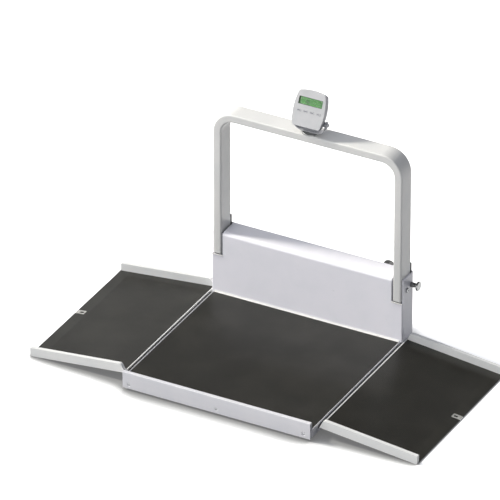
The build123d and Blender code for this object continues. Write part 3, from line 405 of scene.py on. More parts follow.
@dataclass(frozen=True)
class BareMetal(Finish):
    """Zinc-plated, milled or anodised metal with a grain along one axis."""

    roughness: float = 0.34
    grain: Point = (30.0, 1500.0, 1500.0)
    contrast: float = 0.16

    def look(self, sheet: Sheet) -> Look:
        """Says what the finish sets on its shader.

        Args:
            sheet: The material's sheet.

        Returns:
            The sockets by name, with underscores for spaces.
        """
        grain = sheet.use(brushed_texture, **dict(zip("XYZ", self.grain)))["Grain"]
        dark = tuple(level * (1 - self.contrast) for level in self.colour)
        bright = tuple(min(1.0, level * 1.25) for level in self.colour)
        tone = sheet.blend(grain, self.colour, dark)
        return {
            "Base_Color": sheet.blend(sheet.use(scuff_texture)["Mask"], tone, bright),
            "Metallic": 1.0,
            "Roughness": sheet.math("MULTIPLY_ADD", grain, 0.14, self.roughness),
            "Normal": sheet.bump(grain, 0.08, 0.0003),
        }


@dataclass(frozen=True)
class PebbledRubber(Finish):
    """Dark rubber sheet with a pebbled skin, pale specks and walked-on patches."""

    worn: Colour
    roughness: float = 0.62
    dust: float = 0.05

    def look(self, sheet: Sheet) -> Look:
        """Says what the finish sets on its shader.

        Args:
            sheet: The material's sheet.

        Returns:
            The sockets by name, with underscores for spaces.
        """
        pebble = sheet.use(speckle_texture)
        base = sheet.blend(pebble["Wear"], self.colour, self.worn)
        specked = sheet.blend(sheet.math("MULTIPLY", pebble["Specks"], 0.2), base, SPECK_TONE)
        return {
            "Base_Color": sheet.blend(sheet.use(dust_texture, Amount=self.dust)["Mask"], specked, MAT_DUST),
            "Roughness": sheet.math("MULTIPLY_ADD", pebble["Wear"], -0.08, self.roughness),
            "Normal": sheet.bump(pebble["Height"], 0.14, 0.0003),
        }


@dataclass(frozen=True)
class MouldedPlastic(Finish):
    """Injection-moulded plastic with a spark-eroded grain."""

    shade: Colour
    roughness: float = 0.42
    grain: float = 0.1

    def look(self, sheet: Sheet) -> Look:
        """Says what the finish sets on its shader.

        Args:
            sheet: The material's sheet.

        Returns:
            The sockets by name, with underscores for spaces.
        """
        coat = sheet.use(coat_texture, Peel_Scale=2200.0, Mottle_Scale=22.0)
        tone = sheet.blend(coat["Mottle"], self.colour, self.shade)
        return {
            "Base_Color": sheet.blend(sheet.use(dust_texture, Amount=0.12)["Mask"], tone, PLASTIC_DUST),
            "Roughness": sheet.math("MULTIPLY_ADD", coat["Mottle"], 0.08, self.roughness),
            "Normal": sheet.bump(coat["Height"], self.grain, 0.0003),
        }


@dataclass(frozen=True)
class ClearWindow(Finish):
    """Thin clear window: nearly see-through, with a faint green tint and a gloss."""

    alpha: float

    def look(self, sheet: Sheet) -> Look:
        """Says what the finish sets on its shader.

        Args:
            sheet: The material's sheet.

        Returns:
            The sockets by name, with underscores for spaces.
        """
        scuff = sheet.use(scuff_texture)["Mask"]
        smear = sheet.math("MULTIPLY_ADD", scuff, 0.12, 0.06)
        veil = sheet.math("MULTIPLY_ADD", scuff, 0.05, self.alpha)
        return {"Base_Color": self.colour, "Roughness": smear, "Alpha": veil}


@dataclass(frozen=True)
class LitPanel(Finish):
    """Backlit display field: a green glow, darkened towards its left and right edges by painted shade of the
    window's recess.
    """

    edge: Colour
    glow: float = 0.35

    def look(self, sheet: Sheet) -> Look:
        """Says what the finish sets on its shader.

        Args:
            sheet: The material's sheet.

        Returns:
            The sockets by name, with underscores for spaces.
        """
        across = sheet.place("ShaderNodeSeparateXYZ", {0: sheet.spot()}).outputs["X"]
        # Painted shade of the window's recess: the field darkens towards its left and right edges.
        recess_shade = sheet.ramp(sheet.math("ABSOLUTE", across), 0.03, 0.056)
        uneven = sheet.ramp(sheet.noise(26.0, 2.0), 0.45, 0.75)
        tone = sheet.blend(uneven, sheet.blend(recess_shade, self.colour, self.edge), self.edge)
        return {"Base_Color": tone, "Roughness": 0.3, "Emission_Color": tone, "Emission_Strength": self.glow}


@dataclass(frozen=True)
class SolderMask(Finish):
    """Circuit board lacquer with copper tracks showing as paler lines."""

    track: Colour

    def look(self, sheet: Sheet) -> Look:
        """Says what the finish sets on its shader.

        Args:
            sheet: The material's sheet.

        Returns:
            The sockets by name, with underscores for spaces.
        """
        values = {"Vector": sheet.spot(), "Scale": 90.0, "Mortar Size": 0.08}
        values |= {"Color1": BLACK, "Color2": BLACK, "Mortar": WHITE}
        bricks = sheet.place("ShaderNodeTexBrick", values)
        tone = sheet.blend(bricks.outputs["Color"], self.colour, self.track)
        return {"Base_Color": tone, "Roughness": 0.35}


PAINT = PowderCoat("lavender white powder coat", srgb(224, 223, 227), srgb(218, 218, 223))
PANEL_PAINT = PowderCoat("panel powder coat", srgb(249, 247, 253), srgb(244, 243, 249), 0.36)
RAIL_PAINT = PowderCoat("rail powder coat", srgb(232, 231, 228), srgb(225, 225, 223), 0.3)
RAMP_PAINT = PowderCoat("ramp powder coat", srgb(234, 234, 232), srgb(227, 228, 227), 0.36)
PRIMER = PowderCoat("grey primer", srgb(122, 124, 127), srgb(110, 112, 116), 0.6, 0.3)
YOKE_PAINT = PowderCoat("yoke grey paint", srgb(192, 192, 195), srgb(180, 181, 185), 0.4, 0.08)
MAT = PebbledRubber("deck mat rubber", srgb(33, 32, 27), srgb(36, 35, 30), 0.38)
RIB = PebbledRubber("mat rib rubber", srgb(35, 34, 30), srgb(39, 38, 33), 0.38)
REST = PebbledRubber("rest rubber", srgb(88, 89, 90), srgb(104, 104, 104), 0.65)
SOLE = PebbledRubber("foot sole rubber", srgb(34, 34, 35), srgb(48, 48, 48), 0.75)
TYRE = PebbledRubber("castor tyre rubber", srgb(84, 85, 84), srgb(104, 104, 101), 0.5)
ZINC = BareMetal("zinc plate", srgb(176, 178, 180), 0.36, (160.0, 160.0, 900.0))
KNOB = BareMetal("turned knob metal", srgb(150, 151, 151), 0.30, (1800.0, 90.0, 90.0))
MILLED = BareMetal("milled alloy", srgb(188, 190, 193), 0.3, (40.0, 900.0, 900.0))
# Darker than the zinc: bare hinge steel, and partly painted shade of the gap between deck and ramp.
HINGE_AND_GAP_SHADE = BareMetal("oiled hinge steel", srgb(112, 111, 109), 0.46, (900.0, 30.0, 900.0), 0.2)
TAB = BareMetal("tab alloy", srgb(238, 238, 236), 0.5, (900.0, 60.0, 900.0), 0.1)
CASE = MouldedPlastic("case plastic", srgb(193, 193, 195), srgb(187, 188, 190))
CASE_BACK = MouldedPlastic("case back plastic", srgb(178, 179, 185), srgb(168, 169, 176), 0.5, 0.16)
KEY = MouldedPlastic("key cap plastic", srgb(190, 190, 193), srgb(184, 185, 188), 0.36)
KEY_MARK = MouldedPlastic("key mark ink", srgb(120, 121, 128), srgb(109, 111, 117), 0.6)
# Mid grey put in the gap beside each leg: painted shade of the notch gap.
SHADE_LINER = MouldedPlastic("notch liner", srgb(150, 150, 155), srgb(138, 139, 145), 0.5, 0.2)
HUB = MouldedPlastic("castor hub plastic", srgb(58, 59, 60), srgb(48, 49, 51), 0.5, 0.2)
DARK = MouldedPlastic("dark plastic", srgb(44, 45, 47), srgb(54, 55, 57), 0.5, 0.2)
KNOB_GREY = MouldedPlastic("tilt knob plastic", srgb(208, 208, 210), srgb(200, 200, 203), 0.42, 0.16)
SEGMENT = MouldedPlastic("display segment ink", srgb(14, 44, 18), srgb(10, 36, 14), 0.5)
# Dark display border; along its wide left bar it is painted shade of the window's recess.
SURROUND_AND_SHADE = MouldedPlastic("display surround", srgb(22, 36, 24), srgb(18, 28, 20), 0.4)
WINDOW = ClearWindow("window", srgb(120, 176, 108), 0.05)
# The display's second colour is painted shade of the window's recess at the field's edges.
DISPLAY = LitPanel("display green", srgb(66, 134, 58), srgb(28, 76, 28))
BOARD = SolderMask("board lacquer", srgb(26, 84, 44), srgb(66, 128, 74))


def put(name: str, data: Any) -> Object:
    """Makes an object and links it into the scene.

    Args:
        name: Its name.
        data: Its mesh, light or camera.

    Returns:
        The object.
    """
    made = bpy.data.objects.new(name, data)
    bpy.context.scene.collection.objects.link(made)
    return made


def smooth(mesh: Mesh) -> None:
    """Shades a mesh smooth, with its sharp edges kept."""
    mesh.shade_smooth()
    mesh.set_sharp_from_angle(angle=SHARP_ANGLE)


def new_piece(name: str, mesh: Mesh, finish: Finish, rounded: bool = True) -> Object:
    """Puts a mesh into the scene as a piece with its finish.

    Args:
        name: The piece's name.
        mesh: Its mesh, already in place in the row frame.
        finish: What it is dressed in.
        rounded: Whether its faces are shaded smooth.

    Returns:
        The new object, at the origin.
    """
    piece = put(name, mesh)
    mesh.materials.clear()
    mesh.materials.append(finish.material())
    if rounded:
        smooth(mesh)
    return piece


def mesh_from(build: Callable[[BMesh], None]) -> Mesh:
    """Makes a mesh whose normals face out.

    Args:
        build: Adds the mesh's forms to an empty bmesh.

    Returns:
        The mesh.
    """
    work = bmesh.new()
    build(work)
    bmesh.ops.remove_doubles(work, verts=work.verts, dist=1e-7)
    bmesh.ops.recalc_face_normals(work, faces=work.faces)
    mesh = bpy.data.meshes.new("mesh")
    work.to_mesh(mesh)
    work.free()
    return mesh


def in_mm(profile: Profile) -> list[tuple[float, float]]:
    """Returns in metres a profile that is written in millimetres."""
    return [(radius * MM, height * MM) for radius, height in profile]


def add_block(work: BMesh, size: Point, place: Matrix, bevel: float = 0.0) -> None:
    """Adds a block with bevelled edges.

    Args:
        work: The bmesh it is added to.
        size: Its size in metres.
        place: Where its middle goes.
        bevel: The bevel's width in metres, or 0 for none.
    """
    made = bmesh.ops.create_cube(work, size=1.0, matrix=place @ Matrix.Diagonal((*size, 1.0)))
    if bevel:
        edges = list({edge for vert in made["verts"] for edge in vert.link_edges})
        bmesh.ops.bevel(work, geom=edges, offset=bevel, segments=2, affect="EDGES", profile=0.6)


def add_prism(work: BMesh, low: Sequence[Point], high: Sequence[Point]) -> None:
    """Adds a closed form between two outlines with equally many points.

    Args:
        work: The bmesh it is added to.
        low: The first outline.
        high: The second outline.
    """
    ends = [[work.verts.new(point) for point in outline] for outline in (low, high)]
    for k in range(len(low)):
        after = (k + 1) % len(low)
        work.faces.new((ends[0][k], ends[0][after], ends[1][after], ends[1][k]))
    work.faces.new(ends[0])
    work.faces.new(list(reversed(ends[1])))


def bar_mesh(section: Profile, ends: Sequence[float]) -> Mesh:
    """Returns a bar along X between two ends, its section given as Y and Z."""
    low, high = ([(x, y, z) for y, z in section] for x in ends)
    return mesh_from(lambda work: add_prism(work, low, high))


def add_turned(work: BMesh, profile: Profile, place: Matrix, steps: int = 32, closed: bool = False) -> None:
    """Adds a turned form.

    Args:
        work: The bmesh it is added to.
        profile: Radius and height along the axis of each point, in metres.
        place: The frame whose Z is the axis.
        steps: How many faces go round.
        closed: Whether the last point joins the first, as in a ring.
    """
    turns = [2 * math.pi * k / steps for k in range(steps)]
    rings = []
    for radius, height in profile:
        spots = [(radius * math.cos(turn), radius * math.sin(turn), height) for turn in turns]
        if radius < 1e-7:
            spots = [(0, 0, height)]
        rings.append([work.verts.new(place @ Vector(spot)) for spot in spots])
    pairs = list(zip(rings, rings[1:])) + ([(rings[-1], rings[0])] if closed else [])
    for lower, upper in pairs:
        for k in range(steps):
            corners = [lower[k % len(lower)], lower[(k + 1) % len(lower)]]
            corners += [upper[(k + 1) % len(upper)], upper[k % len(upper)]]
            corners = list(dict.fromkeys(corners))
            if len(corners) > 2:
                work.faces.new(corners)


def turned_mesh(profile: Profile, place: Matrix, steps: int = 32, closed: bool = False) -> Mesh:
    """Returns the mesh of one turned form; its arguments are those of add_turned."""
    return mesh_from(lambda work: add_turned(work, profile, place, steps, closed))


def facing(origin: Point, direction: Point) -> Matrix:
    """Returns the frame at origin whose Z points along direction."""
    turn = Vector(direction).to_track_quat("Z", "Y").to_matrix().to_4x4()
    return Matrix.Translation(origin) @ turn


def carve(piece: Object, cutter_mesh: Mesh) -> None:
    """Cuts a mesh out of a piece and keeps the result as the piece's mesh.

    Args:
        piece: The piece.
        cutter_mesh: The mesh that is cut out of it.
    """
    cutter = put("cutter", cutter_mesh)
    modifier = piece.modifiers.new("cut", "BOOLEAN")
    modifier.object = cutter
    modifier.solver = "EXACT"
    settle(piece)
    bpy.data.objects.remove(cutter)


def settle(piece: Object) -> None:
    """Turns a piece's modifiers into its plain mesh.

    Args:
        piece: The piece.
    """
    bpy.context.view_layer.update()
    graph = bpy.context.evaluated_depsgraph_get()
    mesh = bpy.data.meshes.new_from_object(piece.evaluated_get(graph))
    piece.modifiers.clear()
    piece.data = mesh


def merged_copy(node: str, name: str, finish: Finish) -> Object:
    """Copies a CAD node's mesh, merged, into a piece that stands in for the node.

    Args:
        node: The node's name.
        name: The piece's name.
        finish: The piece's finish.

    Returns:
        The piece.
    """
    work = bmesh.new()
    work.from_mesh(bpy.data.objects[node].data)
    bmesh.ops.remove_doubles(work, verts=work.verts, dist=1e-6)
    mesh = bpy.data.meshes.new(name)
    work.to_mesh(mesh)
    work.free()
    return new_piece(name, mesh, finish)


class Pattern:
    """A Geometry Nodes tree with named inputs, applied to a piece and turned into its plain mesh."""

    name = "pattern"
    sockets: dict[str, str] = {}

    def __init__(self) -> None:
        """Builds the tree, or finds it again."""
        found = bpy.data.node_groups.get(self.name)
        self.tree = found or bpy.data.node_groups.new(self.name, "GeometryNodeTree")
        if found:
            return
        self.sheet = Sheet(self.tree)
        for label, kind in {"Geometry": "Geometry", **self.sockets, "Finish": "Material"}.items():
            self.tree.interface.new_socket(name=label, in_out="INPUT", socket_type=f"NodeSocket{kind}")
        self.tree.interface.new_socket(name="Geometry", in_out="OUTPUT", socket_type="NodeSocketGeometry")
        given = self.sheet.place("NodeGroupInput").outputs
        real = self.sheet.place("GeometryNodeRealizeInstances", {0: self.build(given)}).outputs[0]
        values = {"Geometry": real, "Material": given["Finish"]}
        dressed = self.sheet.place("GeometryNodeSetMaterial", values).outputs[0]
        self.sheet.place("NodeGroupOutput", {0: dressed})

    def build(self, given: Any) -> Socket:
        """Builds the tree.

        Args:
            given: The tree's inputs.

        Returns:
            Its instances.
        """
        raise NotImplementedError

    def euler(self, angles: Any) -> Socket:
        """Returns the rotation of three Euler angles."""
        return self.sheet.place("FunctionNodeEulerToRotation", {0: angles}).outputs[0]

    def copies(self, points: Socket, shape: Socket, angles: Socket, **values: Socket) -> Socket:
        """Copies a shape onto points, turned by Euler angles, and returns the instances."""
        values |= {"Points": points, "Instance": shape, "Rotation": self.euler(angles)}
        return self.sheet.place("GeometryNodeInstanceOnPoints", values).outputs[0]

    def apply(self, name: str, finish: Finish, points: Mesh | None = None, **values: Any) -> Object:
        """Runs the tree on a mesh and keeps the result as a plain mesh.

        Args:
            name: The new piece's name.
            finish: The finish the result is dressed in.
            points: The mesh that the tree starts from; without it, an empty one.
            values: The tree's inputs.

        Returns:
            The finished piece.
        """
        carrier = put(name, points or bpy.data.meshes.new("start"))
        modifier = carrier.modifiers.new(self.name, "NODES")
        modifier.node_group = self.tree
        values["Finish"] = finish.material()
        for item in self.tree.interface.items_tree:
            if item.in_out == "INPUT" and item.name in values:
                modifier[item.identifier] = values[item.name]
        settle(carrier)
        return carrier


class Scatter(Pattern):
    """Copies a small fitting onto points, each turned by the points' own turn attribute."""

    name = "fittings on points"
    sockets = {"Fitting": "Object", "Size": "Float"}

    def build(self, given: Any) -> Socket:
        """Builds the tree.

        Args:
            given: The tree's inputs.

        Returns:
            Its instances.
        """
        turn = self.sheet.place("GeometryNodeInputNamedAttribute", {"Name": "turn"}, data_type="FLOAT_VECTOR")
        values = {"Object": given["Fitting"], "As Instance": True}
        fitting = self.sheet.place("GeometryNodeObjectInfo", values).outputs["Geometry"]
        scale = self.sheet.place("ShaderNodeCombineXYZ", dict.fromkeys(range(3), given["Size"])).outputs[0]
        return self.copies(given["Geometry"], fitting, turn.outputs["Attribute"], Scale=scale)


class RibField(Pattern):
    """Lays parallel ribs of one size at a pitch along a line."""

    name = "parallel ribs"
    sockets = {"Count": "Int", "Start": "Vector", "Pitch": "Vector", "Rib": "Vector", "Slope": "Vector"}

    def build(self, given: Any) -> Socket:
        """Builds the tree.

        Args:
            given: The tree's inputs.

        Returns:
            Its instances.
        """
        values = {"Count": given["Count"], "Start Location": given["Start"], "Offset": given["Pitch"]}
        line = self.sheet.place("GeometryNodeMeshLine", values).outputs[0]
        rib = self.sheet.place("GeometryNodeMeshCube", {"Size": given["Rib"]}).outputs[0]
        return self.copies(line, rib, given["Slope"])


class RibRing(Pattern):
    """Stands ribs round a ring about X, such as a knurl or a wheel's spokes."""

    name = "ribs round a ring"
    sockets = {"Count": "Int", "Radius": "Float", "Centre": "Vector", "Rib": "Vector"}

    def build(self, given: Any) -> Socket:
        """Builds the tree.

        Args:
            given: The tree's inputs.

        Returns:
            Its instances.
        """
        values = {"Vertices": given["Count"], "Radius": given["Radius"]}
        circle = self.sheet.place("GeometryNodeMeshCircle", values).outputs[0]
        index = self.sheet.place("GeometryNodeInputIndex").outputs[0]
        angle = self.sheet.math("MULTIPLY", self.sheet.math("DIVIDE", index, given["Count"]), 2 * math.pi)
        turn = self.sheet.place("ShaderNodeCombineXYZ", {2: angle}).outputs[0]
        rib = self.sheet.place("GeometryNodeMeshCube", {"Size": given["Rib"]}).outputs[0]
        values = {"Geometry": self.copies(circle, rib, turn), "Translation": given["Centre"]}
        values["Rotation"] = self.euler((0.0, math.pi / 2, 0.0))
        return self.sheet.place("GeometryNodeTransform", values).outputs[0]


def points_mesh(places: Sequence[Matrix]) -> Mesh:
    """Makes loose points, each with its place's turn in a vector attribute.

    Args:
        places: A frame for each point.

    Returns:
        The mesh.
    """
    mesh = bpy.data.meshes.new("points")
    mesh.from_pydata([tuple(place.translation) for place in places], [], [])
    turn = mesh.attributes.new("turn", "FLOAT_VECTOR", "POINT")
    for index, place in enumerate(places):
        turn.data[index].vector = tuple(place.to_euler("XYZ"))
    return mesh


class Head(Enum):
    """The kinds of screw and rivet head on the scale."""

    CROSS = "cross"
    HEX = "hex"
    RIVET = "rivet"


DOME = ((0.0, 0.55), (0.35, 0.53), (0.65, 0.44), (0.88, 0.28), (1.0, 0.05), (1.0, -0.3), (0.0, -0.3))
HEXAGON = ((0.0, 0.7), (0.86, 0.7), (1.0, 0.6), (1.0, -0.3), (0.0, -0.3))
CROSS_BAR = (1.0 * MM, 0.2 * MM, 0.5 * MM)


def make_head(kind: Head) -> Object:
    """Returns a head 1 mm in radius, its Z along the screw, to be removed once it is copied.

    Args:
        kind: Which head to make.

    Returns:
        The object.
    """
    profile, steps = (HEXAGON, 6) if kind is Head.HEX else (DOME, 18)
    profile = in_mm(profile)
    piece = new_piece(f"head_{kind.value}", turned_mesh(profile, Matrix(), steps), ZINC)
    if kind is Head.CROSS:
        for turn in (0.0, math.pi / 2):
            place = Matrix.Translation((0, 0, profile[0][1])) @ Matrix.Rotation(turn, 4, "Z")
            carve(piece, mesh_from(lambda work, place=place: add_block(work, CROSS_BAR, place)))
    return piece


def fit_heads(
    name: str, kind: Head, radius: float, places: Sequence[Matrix], finish: Finish, body: str
) -> None:
    """Fits a set of equal screw or rivet heads that ride on one body.

    Args:
        name: The piece's name.
        kind: The kind of head.
        radius: The head's radius in metres.
        places: A frame for each head, its Z pointing out of the surface.
        finish: The heads' finish.
        body: The CAD body they ride on.
    """
    fitting = make_head(kind)
    piece = Scatter().apply(name, finish, points_mesh(places), Fitting=fitting, Size=radius / MM)
    bpy.data.objects.remove(fitting)
    smooth(piece.data)
    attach(piece, body)
    LOG.info("%s: %d heads on %s", name, len(places), body)


def both(stem: str) -> tuple[str, ...]:
    """Returns the names that a node has on the right and on the left."""
    return tuple(f"{stem}_{side.word}" for side in Side)


def dress_nodes(finish: Finish, nodes: Iterable[str]) -> None:
    """Gives CAD nodes their finish.

    Args:
        finish: The finish.
        nodes: The nodes' names.
    """
    for name in nodes:
        mesh = bpy.data.objects[name].data
        mesh.materials.clear()
        mesh.materials.append(finish.material())
        LOG.info("%s: %s", name, finish.name)


@dataclass
class Platform:
    """The deck, its kerb and what stands under it."""

    half_width: float = 0.400
    mat_top: float = 0.049
    mat_front: float = -0.439
    mat_rear: float = 0.275
    mat_margin: float = 0.012
    rib_pitch: float = 0.006
    rib_size: tuple[float, float] = (0.0022, 0.0003)
    kerb_face: float = -0.455
    kerb_screws: tuple[float, ...] = (-0.373, 0.0, 0.373)
    kerb_screw_z: float = 0.028
    kerb_screw_radius: float = 0.0068
    kerb_dome_base: float = 0.0039
    kerb_dish: Profile = ((0.0, -0.0015), (0.0074, -0.0015), (0.0088, 0.0), (0.0092, 0.002), (0.0, 0.002))
    foot_places: Profile = ((0.36, -0.393), (-0.36, -0.393), (0.36, 0.303), (-0.36, 0.303))
    cell_reach: float = 0.090
    cell_underside: float = 0.0162
    cell_bolts: tuple[float, float] = (-0.008, 0.008)
    cell_bolt_radius: float = 0.005
    sole: Profile = ((0, 0), (22, 0), (24.4, 0.8), (25, 2.2), (24.6, 3.4), (0, 3.4))
    disc: Profile = ((0, 3.4), (24, 3.4), (24.2, 4.2), (14, 7.6), (12.5, 8), (6, 8))
    nut: Profile = ((0, 11.2), (9.6, 11.2), (10.5, 11.8), (10.5, 15.4), (9.6, 16), (0, 16))

    def dress(self) -> None:
        """Dresses the CAD nodes and adds the small pieces."""
        dress_nodes(PAINT, ("deck_tray", *both("hook_rail")))
        dress_nodes(MAT, ("deck_mat",))
        dress_nodes(PRIMER, ("deck_ribs",))
        dress_nodes(MILLED, both("load_cell_front") + both("load_cell_rear"))
        self.mat_ribs()
        self.kerb()
        self.heads()
        self.feet()

    def mat_ribs(self) -> None:
        """Lays the mat's fine ribs from side to side."""
        count = int((self.mat_rear - self.mat_front) / self.rib_pitch) - 1
        width, height = self.rib_size
        piece = RibField().apply(
            "deck_mat_ribs",
            RIB,
            Count=count,
            Start=(0.0, self.mat_front + self.rib_pitch, self.mat_top),
            Pitch=(0.0, self.rib_pitch, 0.0),
            Rib=(2 * self.half_width - self.mat_margin, width, 2 * height),
            Slope=(0.0, 0.0, 0.0),
        )
        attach(piece, "platform")
        LOG.info("deck_mat_ribs: %d ribs", count)

    def kerb(self) -> None:
        """Sinks a shallow dish into the kerb around each of its screws."""
        piece = merged_copy("front_kerb", "front_kerb_dished", PAINT)
        for x in self.kerb_screws:
            place = facing((x, self.kerb_face, self.kerb_screw_z), (0, -1, 0))
            carve(piece, turned_mesh(self.kerb_dish, place))
        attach(piece, "platform")
        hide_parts("front_kerb")
        LOG.info("front_kerb: %d dished screws", len(self.kerb_screws))

    def heads(self) -> None:
        """Fits the kerb's screws, their domes just inside its face, and the load cells' bolts."""
        base = self.kerb_face + self.kerb_dome_base
        places = [facing((x, base, self.kerb_screw_z), (0, -1, 0)) for x in self.kerb_screws]
        fit_heads("kerb_screws", Head.RIVET, self.kerb_screw_radius, places, ZINC, "platform")
        bolts = []
        for x, y in self.foot_places:
            inner = x - math.copysign(self.cell_reach, x)
            spots = [(inner, y + shift, self.cell_underside) for shift in self.cell_bolts]
            bolts += [facing(spot, (0, 0, -1)) for spot in spots]
        fit_heads("load_cell_bolts", Head.HEX, self.cell_bolt_radius, bolts, ZINC, "platform")

    def feet(self) -> None:
        """Builds the levelling feet: a rubber sole, a steel disc and a threaded stem with its nut."""
        thread = tuple((6 - 0.5 * (k % 2), 8 + 0.75 * k) for k in range(1, 35))
        stem = in_mm((*self.disc, *thread, (5.0, 34.0), (0, 34.0)))
        for x, y in self.foot_places:
            end, side = ("front", "rear")[y > 0], ("right", "left")[x < 0]
            place = Matrix.Translation((x, y, 0))

            def steel(work: BMesh, place: Matrix = place) -> None:
                """Adds the disc, the stem and the nut."""
                add_turned(work, stem, place, 24)
                add_turned(work, in_mm(self.nut), place, 6)

            node = f"foot_{end}_{side}"
            mesh = turned_mesh(in_mm(self.sole), place, 36)
            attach(new_piece(f"{node}_sole", mesh, SOLE), "platform")
            stem_piece = new_piece(f"{node}_stem", mesh_from(steel), ZINC)
            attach(stem_piece, "platform")
            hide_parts(node)
            LOG.info("%s: sole and stem", node)


@dataclass
class Ramp:
    """One ramp with its mat, tab and hinge leaf."""

    side: Side
    root: Point = (0.4195, -0.045, 0.048)
    run: float = 0.408
    drop: float = 0.0428
    half_mat: float = 0.349
    mat_margin: float = 0.006
    rib_pitch: float = 0.006
    rib_size: tuple[float, float] = (0.0022, 0.0006)
    tab_length: float = 0.044
    tab_rivets: tuple[float, ...] = (-0.0085, 0.0085)
    rivet_radius: float = 0.0018
    rivet_inset: float = 0.008
    rivet_lift: float = 0.0005
    slot_middle: float = 0.024
    slot_half: float = 0.003
    slot_radius: float = 0.0056
    slot_points: int = 24
    pad_levels: tuple[float, float] = (-0.0024, -0.0014)

    @property
    def length(self) -> float:
        """The ramp's length along its slope."""
        return math.hypot(self.run, self.drop)

    def on_mat(self, along: float, across: float, above: float = 0.0) -> Point:
        """Finds a point from the mat's surface.

        Args:
            along: How far down the ramp it lies.
            across: How far across.
            above: How far over the surface.

        Returns:
            The point in the row frame.
        """
        down = (self.run / self.length, -self.drop / self.length)
        up = (self.drop / self.length, self.run / self.length)
        x = self.root[0] + along * down[0] + above * up[0]
        return self.side.value * x, self.root[1] + across, self.root[2] + along * down[1] + above * up[1]

    def dress(self) -> None:
        """Dresses the CAD nodes and adds the ribs, the rivets and the slot's dark pad, painted shade of the
        open slot.
        """
        word = self.side.word
        dress_nodes(RAMP_PAINT, (f"ramp_body_{word}",))
        dress_nodes(MAT, (f"ramp_mat_{word}",))
        dress_nodes(TAB, (f"ramp_tab_{word}",))
        # Hinge parts darkened as bare steel and, in part, as painted shade of the hinge gap.
        dress_nodes(HINGE_AND_GAP_SHADE, (f"hook_leaf_{word}", f"hinge_strip_{word}"))
        self.mat_ribs()
        normal = (self.side.value * self.drop / self.length, 0.0, self.run / self.length)
        tip = self.length - self.rivet_inset
        places = [facing(self.on_mat(tip, across, self.rivet_lift), normal) for across in self.tab_rivets]
        fit_heads(f"tab_rivets_{word}", Head.RIVET, self.rivet_radius, places, TAB, f"ramp_{word}")
        self.slot_pad(self.length - self.slot_middle)

    def slot_pad(self, middle: float) -> None:
        """Beds a dark rubber pad in the tab's slot, as painted shade of the open slot.

        Args:
            middle: How far down the ramp its centre lies.
        """
        turns = [2 * math.pi * (k + 0.5) / self.slot_points for k in range(self.slot_points)]
        half, r = self.slot_half, self.slot_radius
        ring = [(math.copysign(half, math.cos(t)) + r * math.cos(t), r * math.sin(t)) for t in turns]
        low, high = (
            [self.on_mat(middle + along, across, level) for along, across in ring]
            for level in self.pad_levels
        )
        # Dark pad: painted shade seen through the tab's slot.
        mesh = mesh_from(lambda work: add_prism(work, low, high))
        word = self.side.word
        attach(new_piece(f"tab_slot_pad_{word}", mesh, SOLE), f"ramp_{word}")

    def mat_ribs(self) -> None:
        """Lays the mat's fine ribs from flange to flange, down to the tab."""
        count = int((self.length - self.tab_length) / self.rib_pitch) - 1
        first, second = Vector(self.on_mat(self.rib_pitch, 0)), Vector(self.on_mat(2 * self.rib_pitch, 0))
        width, height = self.rib_size
        piece = RibField().apply(
            f"ramp_mat_ribs_{self.side.word}",
            RIB,
            Count=count,
            Start=tuple(first),
            Pitch=tuple(second - first),
            Rib=(width, 2 * self.half_mat - self.mat_margin, height),
            Slope=(0.0, self.side.value * math.atan2(self.drop, self.run), 0.0),
        )
        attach(piece, f"ramp_{self.side.word}")
        LOG.info("ramp_mat_ribs_%s: %d ribs", self.side.word, count)


@dataclass
class Wheel:
    """A castor's wheel: a grey tyre on a dark hub with spokes."""

    node: str
    body: str
    radius: float = 0.0375
    half_width: float = 0.012
    axle: float = 0.004
    spokes: int = 10
    spoke_middle: float = 0.0155

    def dress(self) -> None:
        """Builds the tyre and the spoked hub in the node's place."""
        low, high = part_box(self.node)
        middle = (low + high) / 2
        place = facing(tuple(middle), (1, 0, 0))
        w, r = self.half_width, self.radius
        tread = ((-0.92, -2.4), (-0.7, -0.9), (-0.3, -0.1), (0, 0), (0.3, -0.1), (0.7, -0.9), (0.92, -2.4))
        tyre = [(r + drop * MM, share * w) for share, drop in tread]
        tyre += [(0.0262, 0.86 * w), (0.0248, 0.7 * w), (0.0248, -0.7 * w), (0.0262, -0.86 * w)]
        hub = [(self.axle + 0.0001, -w), (0.0085, -w), (0.009, -0.9 * w), (0.0105, -0.45 * w)]
        hub += [(0.0215, -0.4 * w), (0.0228, -0.68 * w), (0.0247, -0.7 * w)]
        hub += [(radius, -height) for radius, height in reversed(hub)]
        tyre_piece = new_piece(f"{self.node}_tyre", turned_mesh(tyre, place, 56, True), TYRE)
        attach(tyre_piece, self.body)
        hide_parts(self.node)
        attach(new_piece(f"{self.node}_hub", turned_mesh(hub, place, 40, True), HUB), self.body)
        values = {"Count": self.spokes, "Radius": self.spoke_middle, "Rib": (0.0124, 0.0018, 1.3 * w)}
        ribs = RibRing().apply(f"{self.node}_spokes", HUB, Centre=tuple(middle), **values)
        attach(ribs, self.body)
        LOG.info("%s: tyre, hub and spokes", self.node)


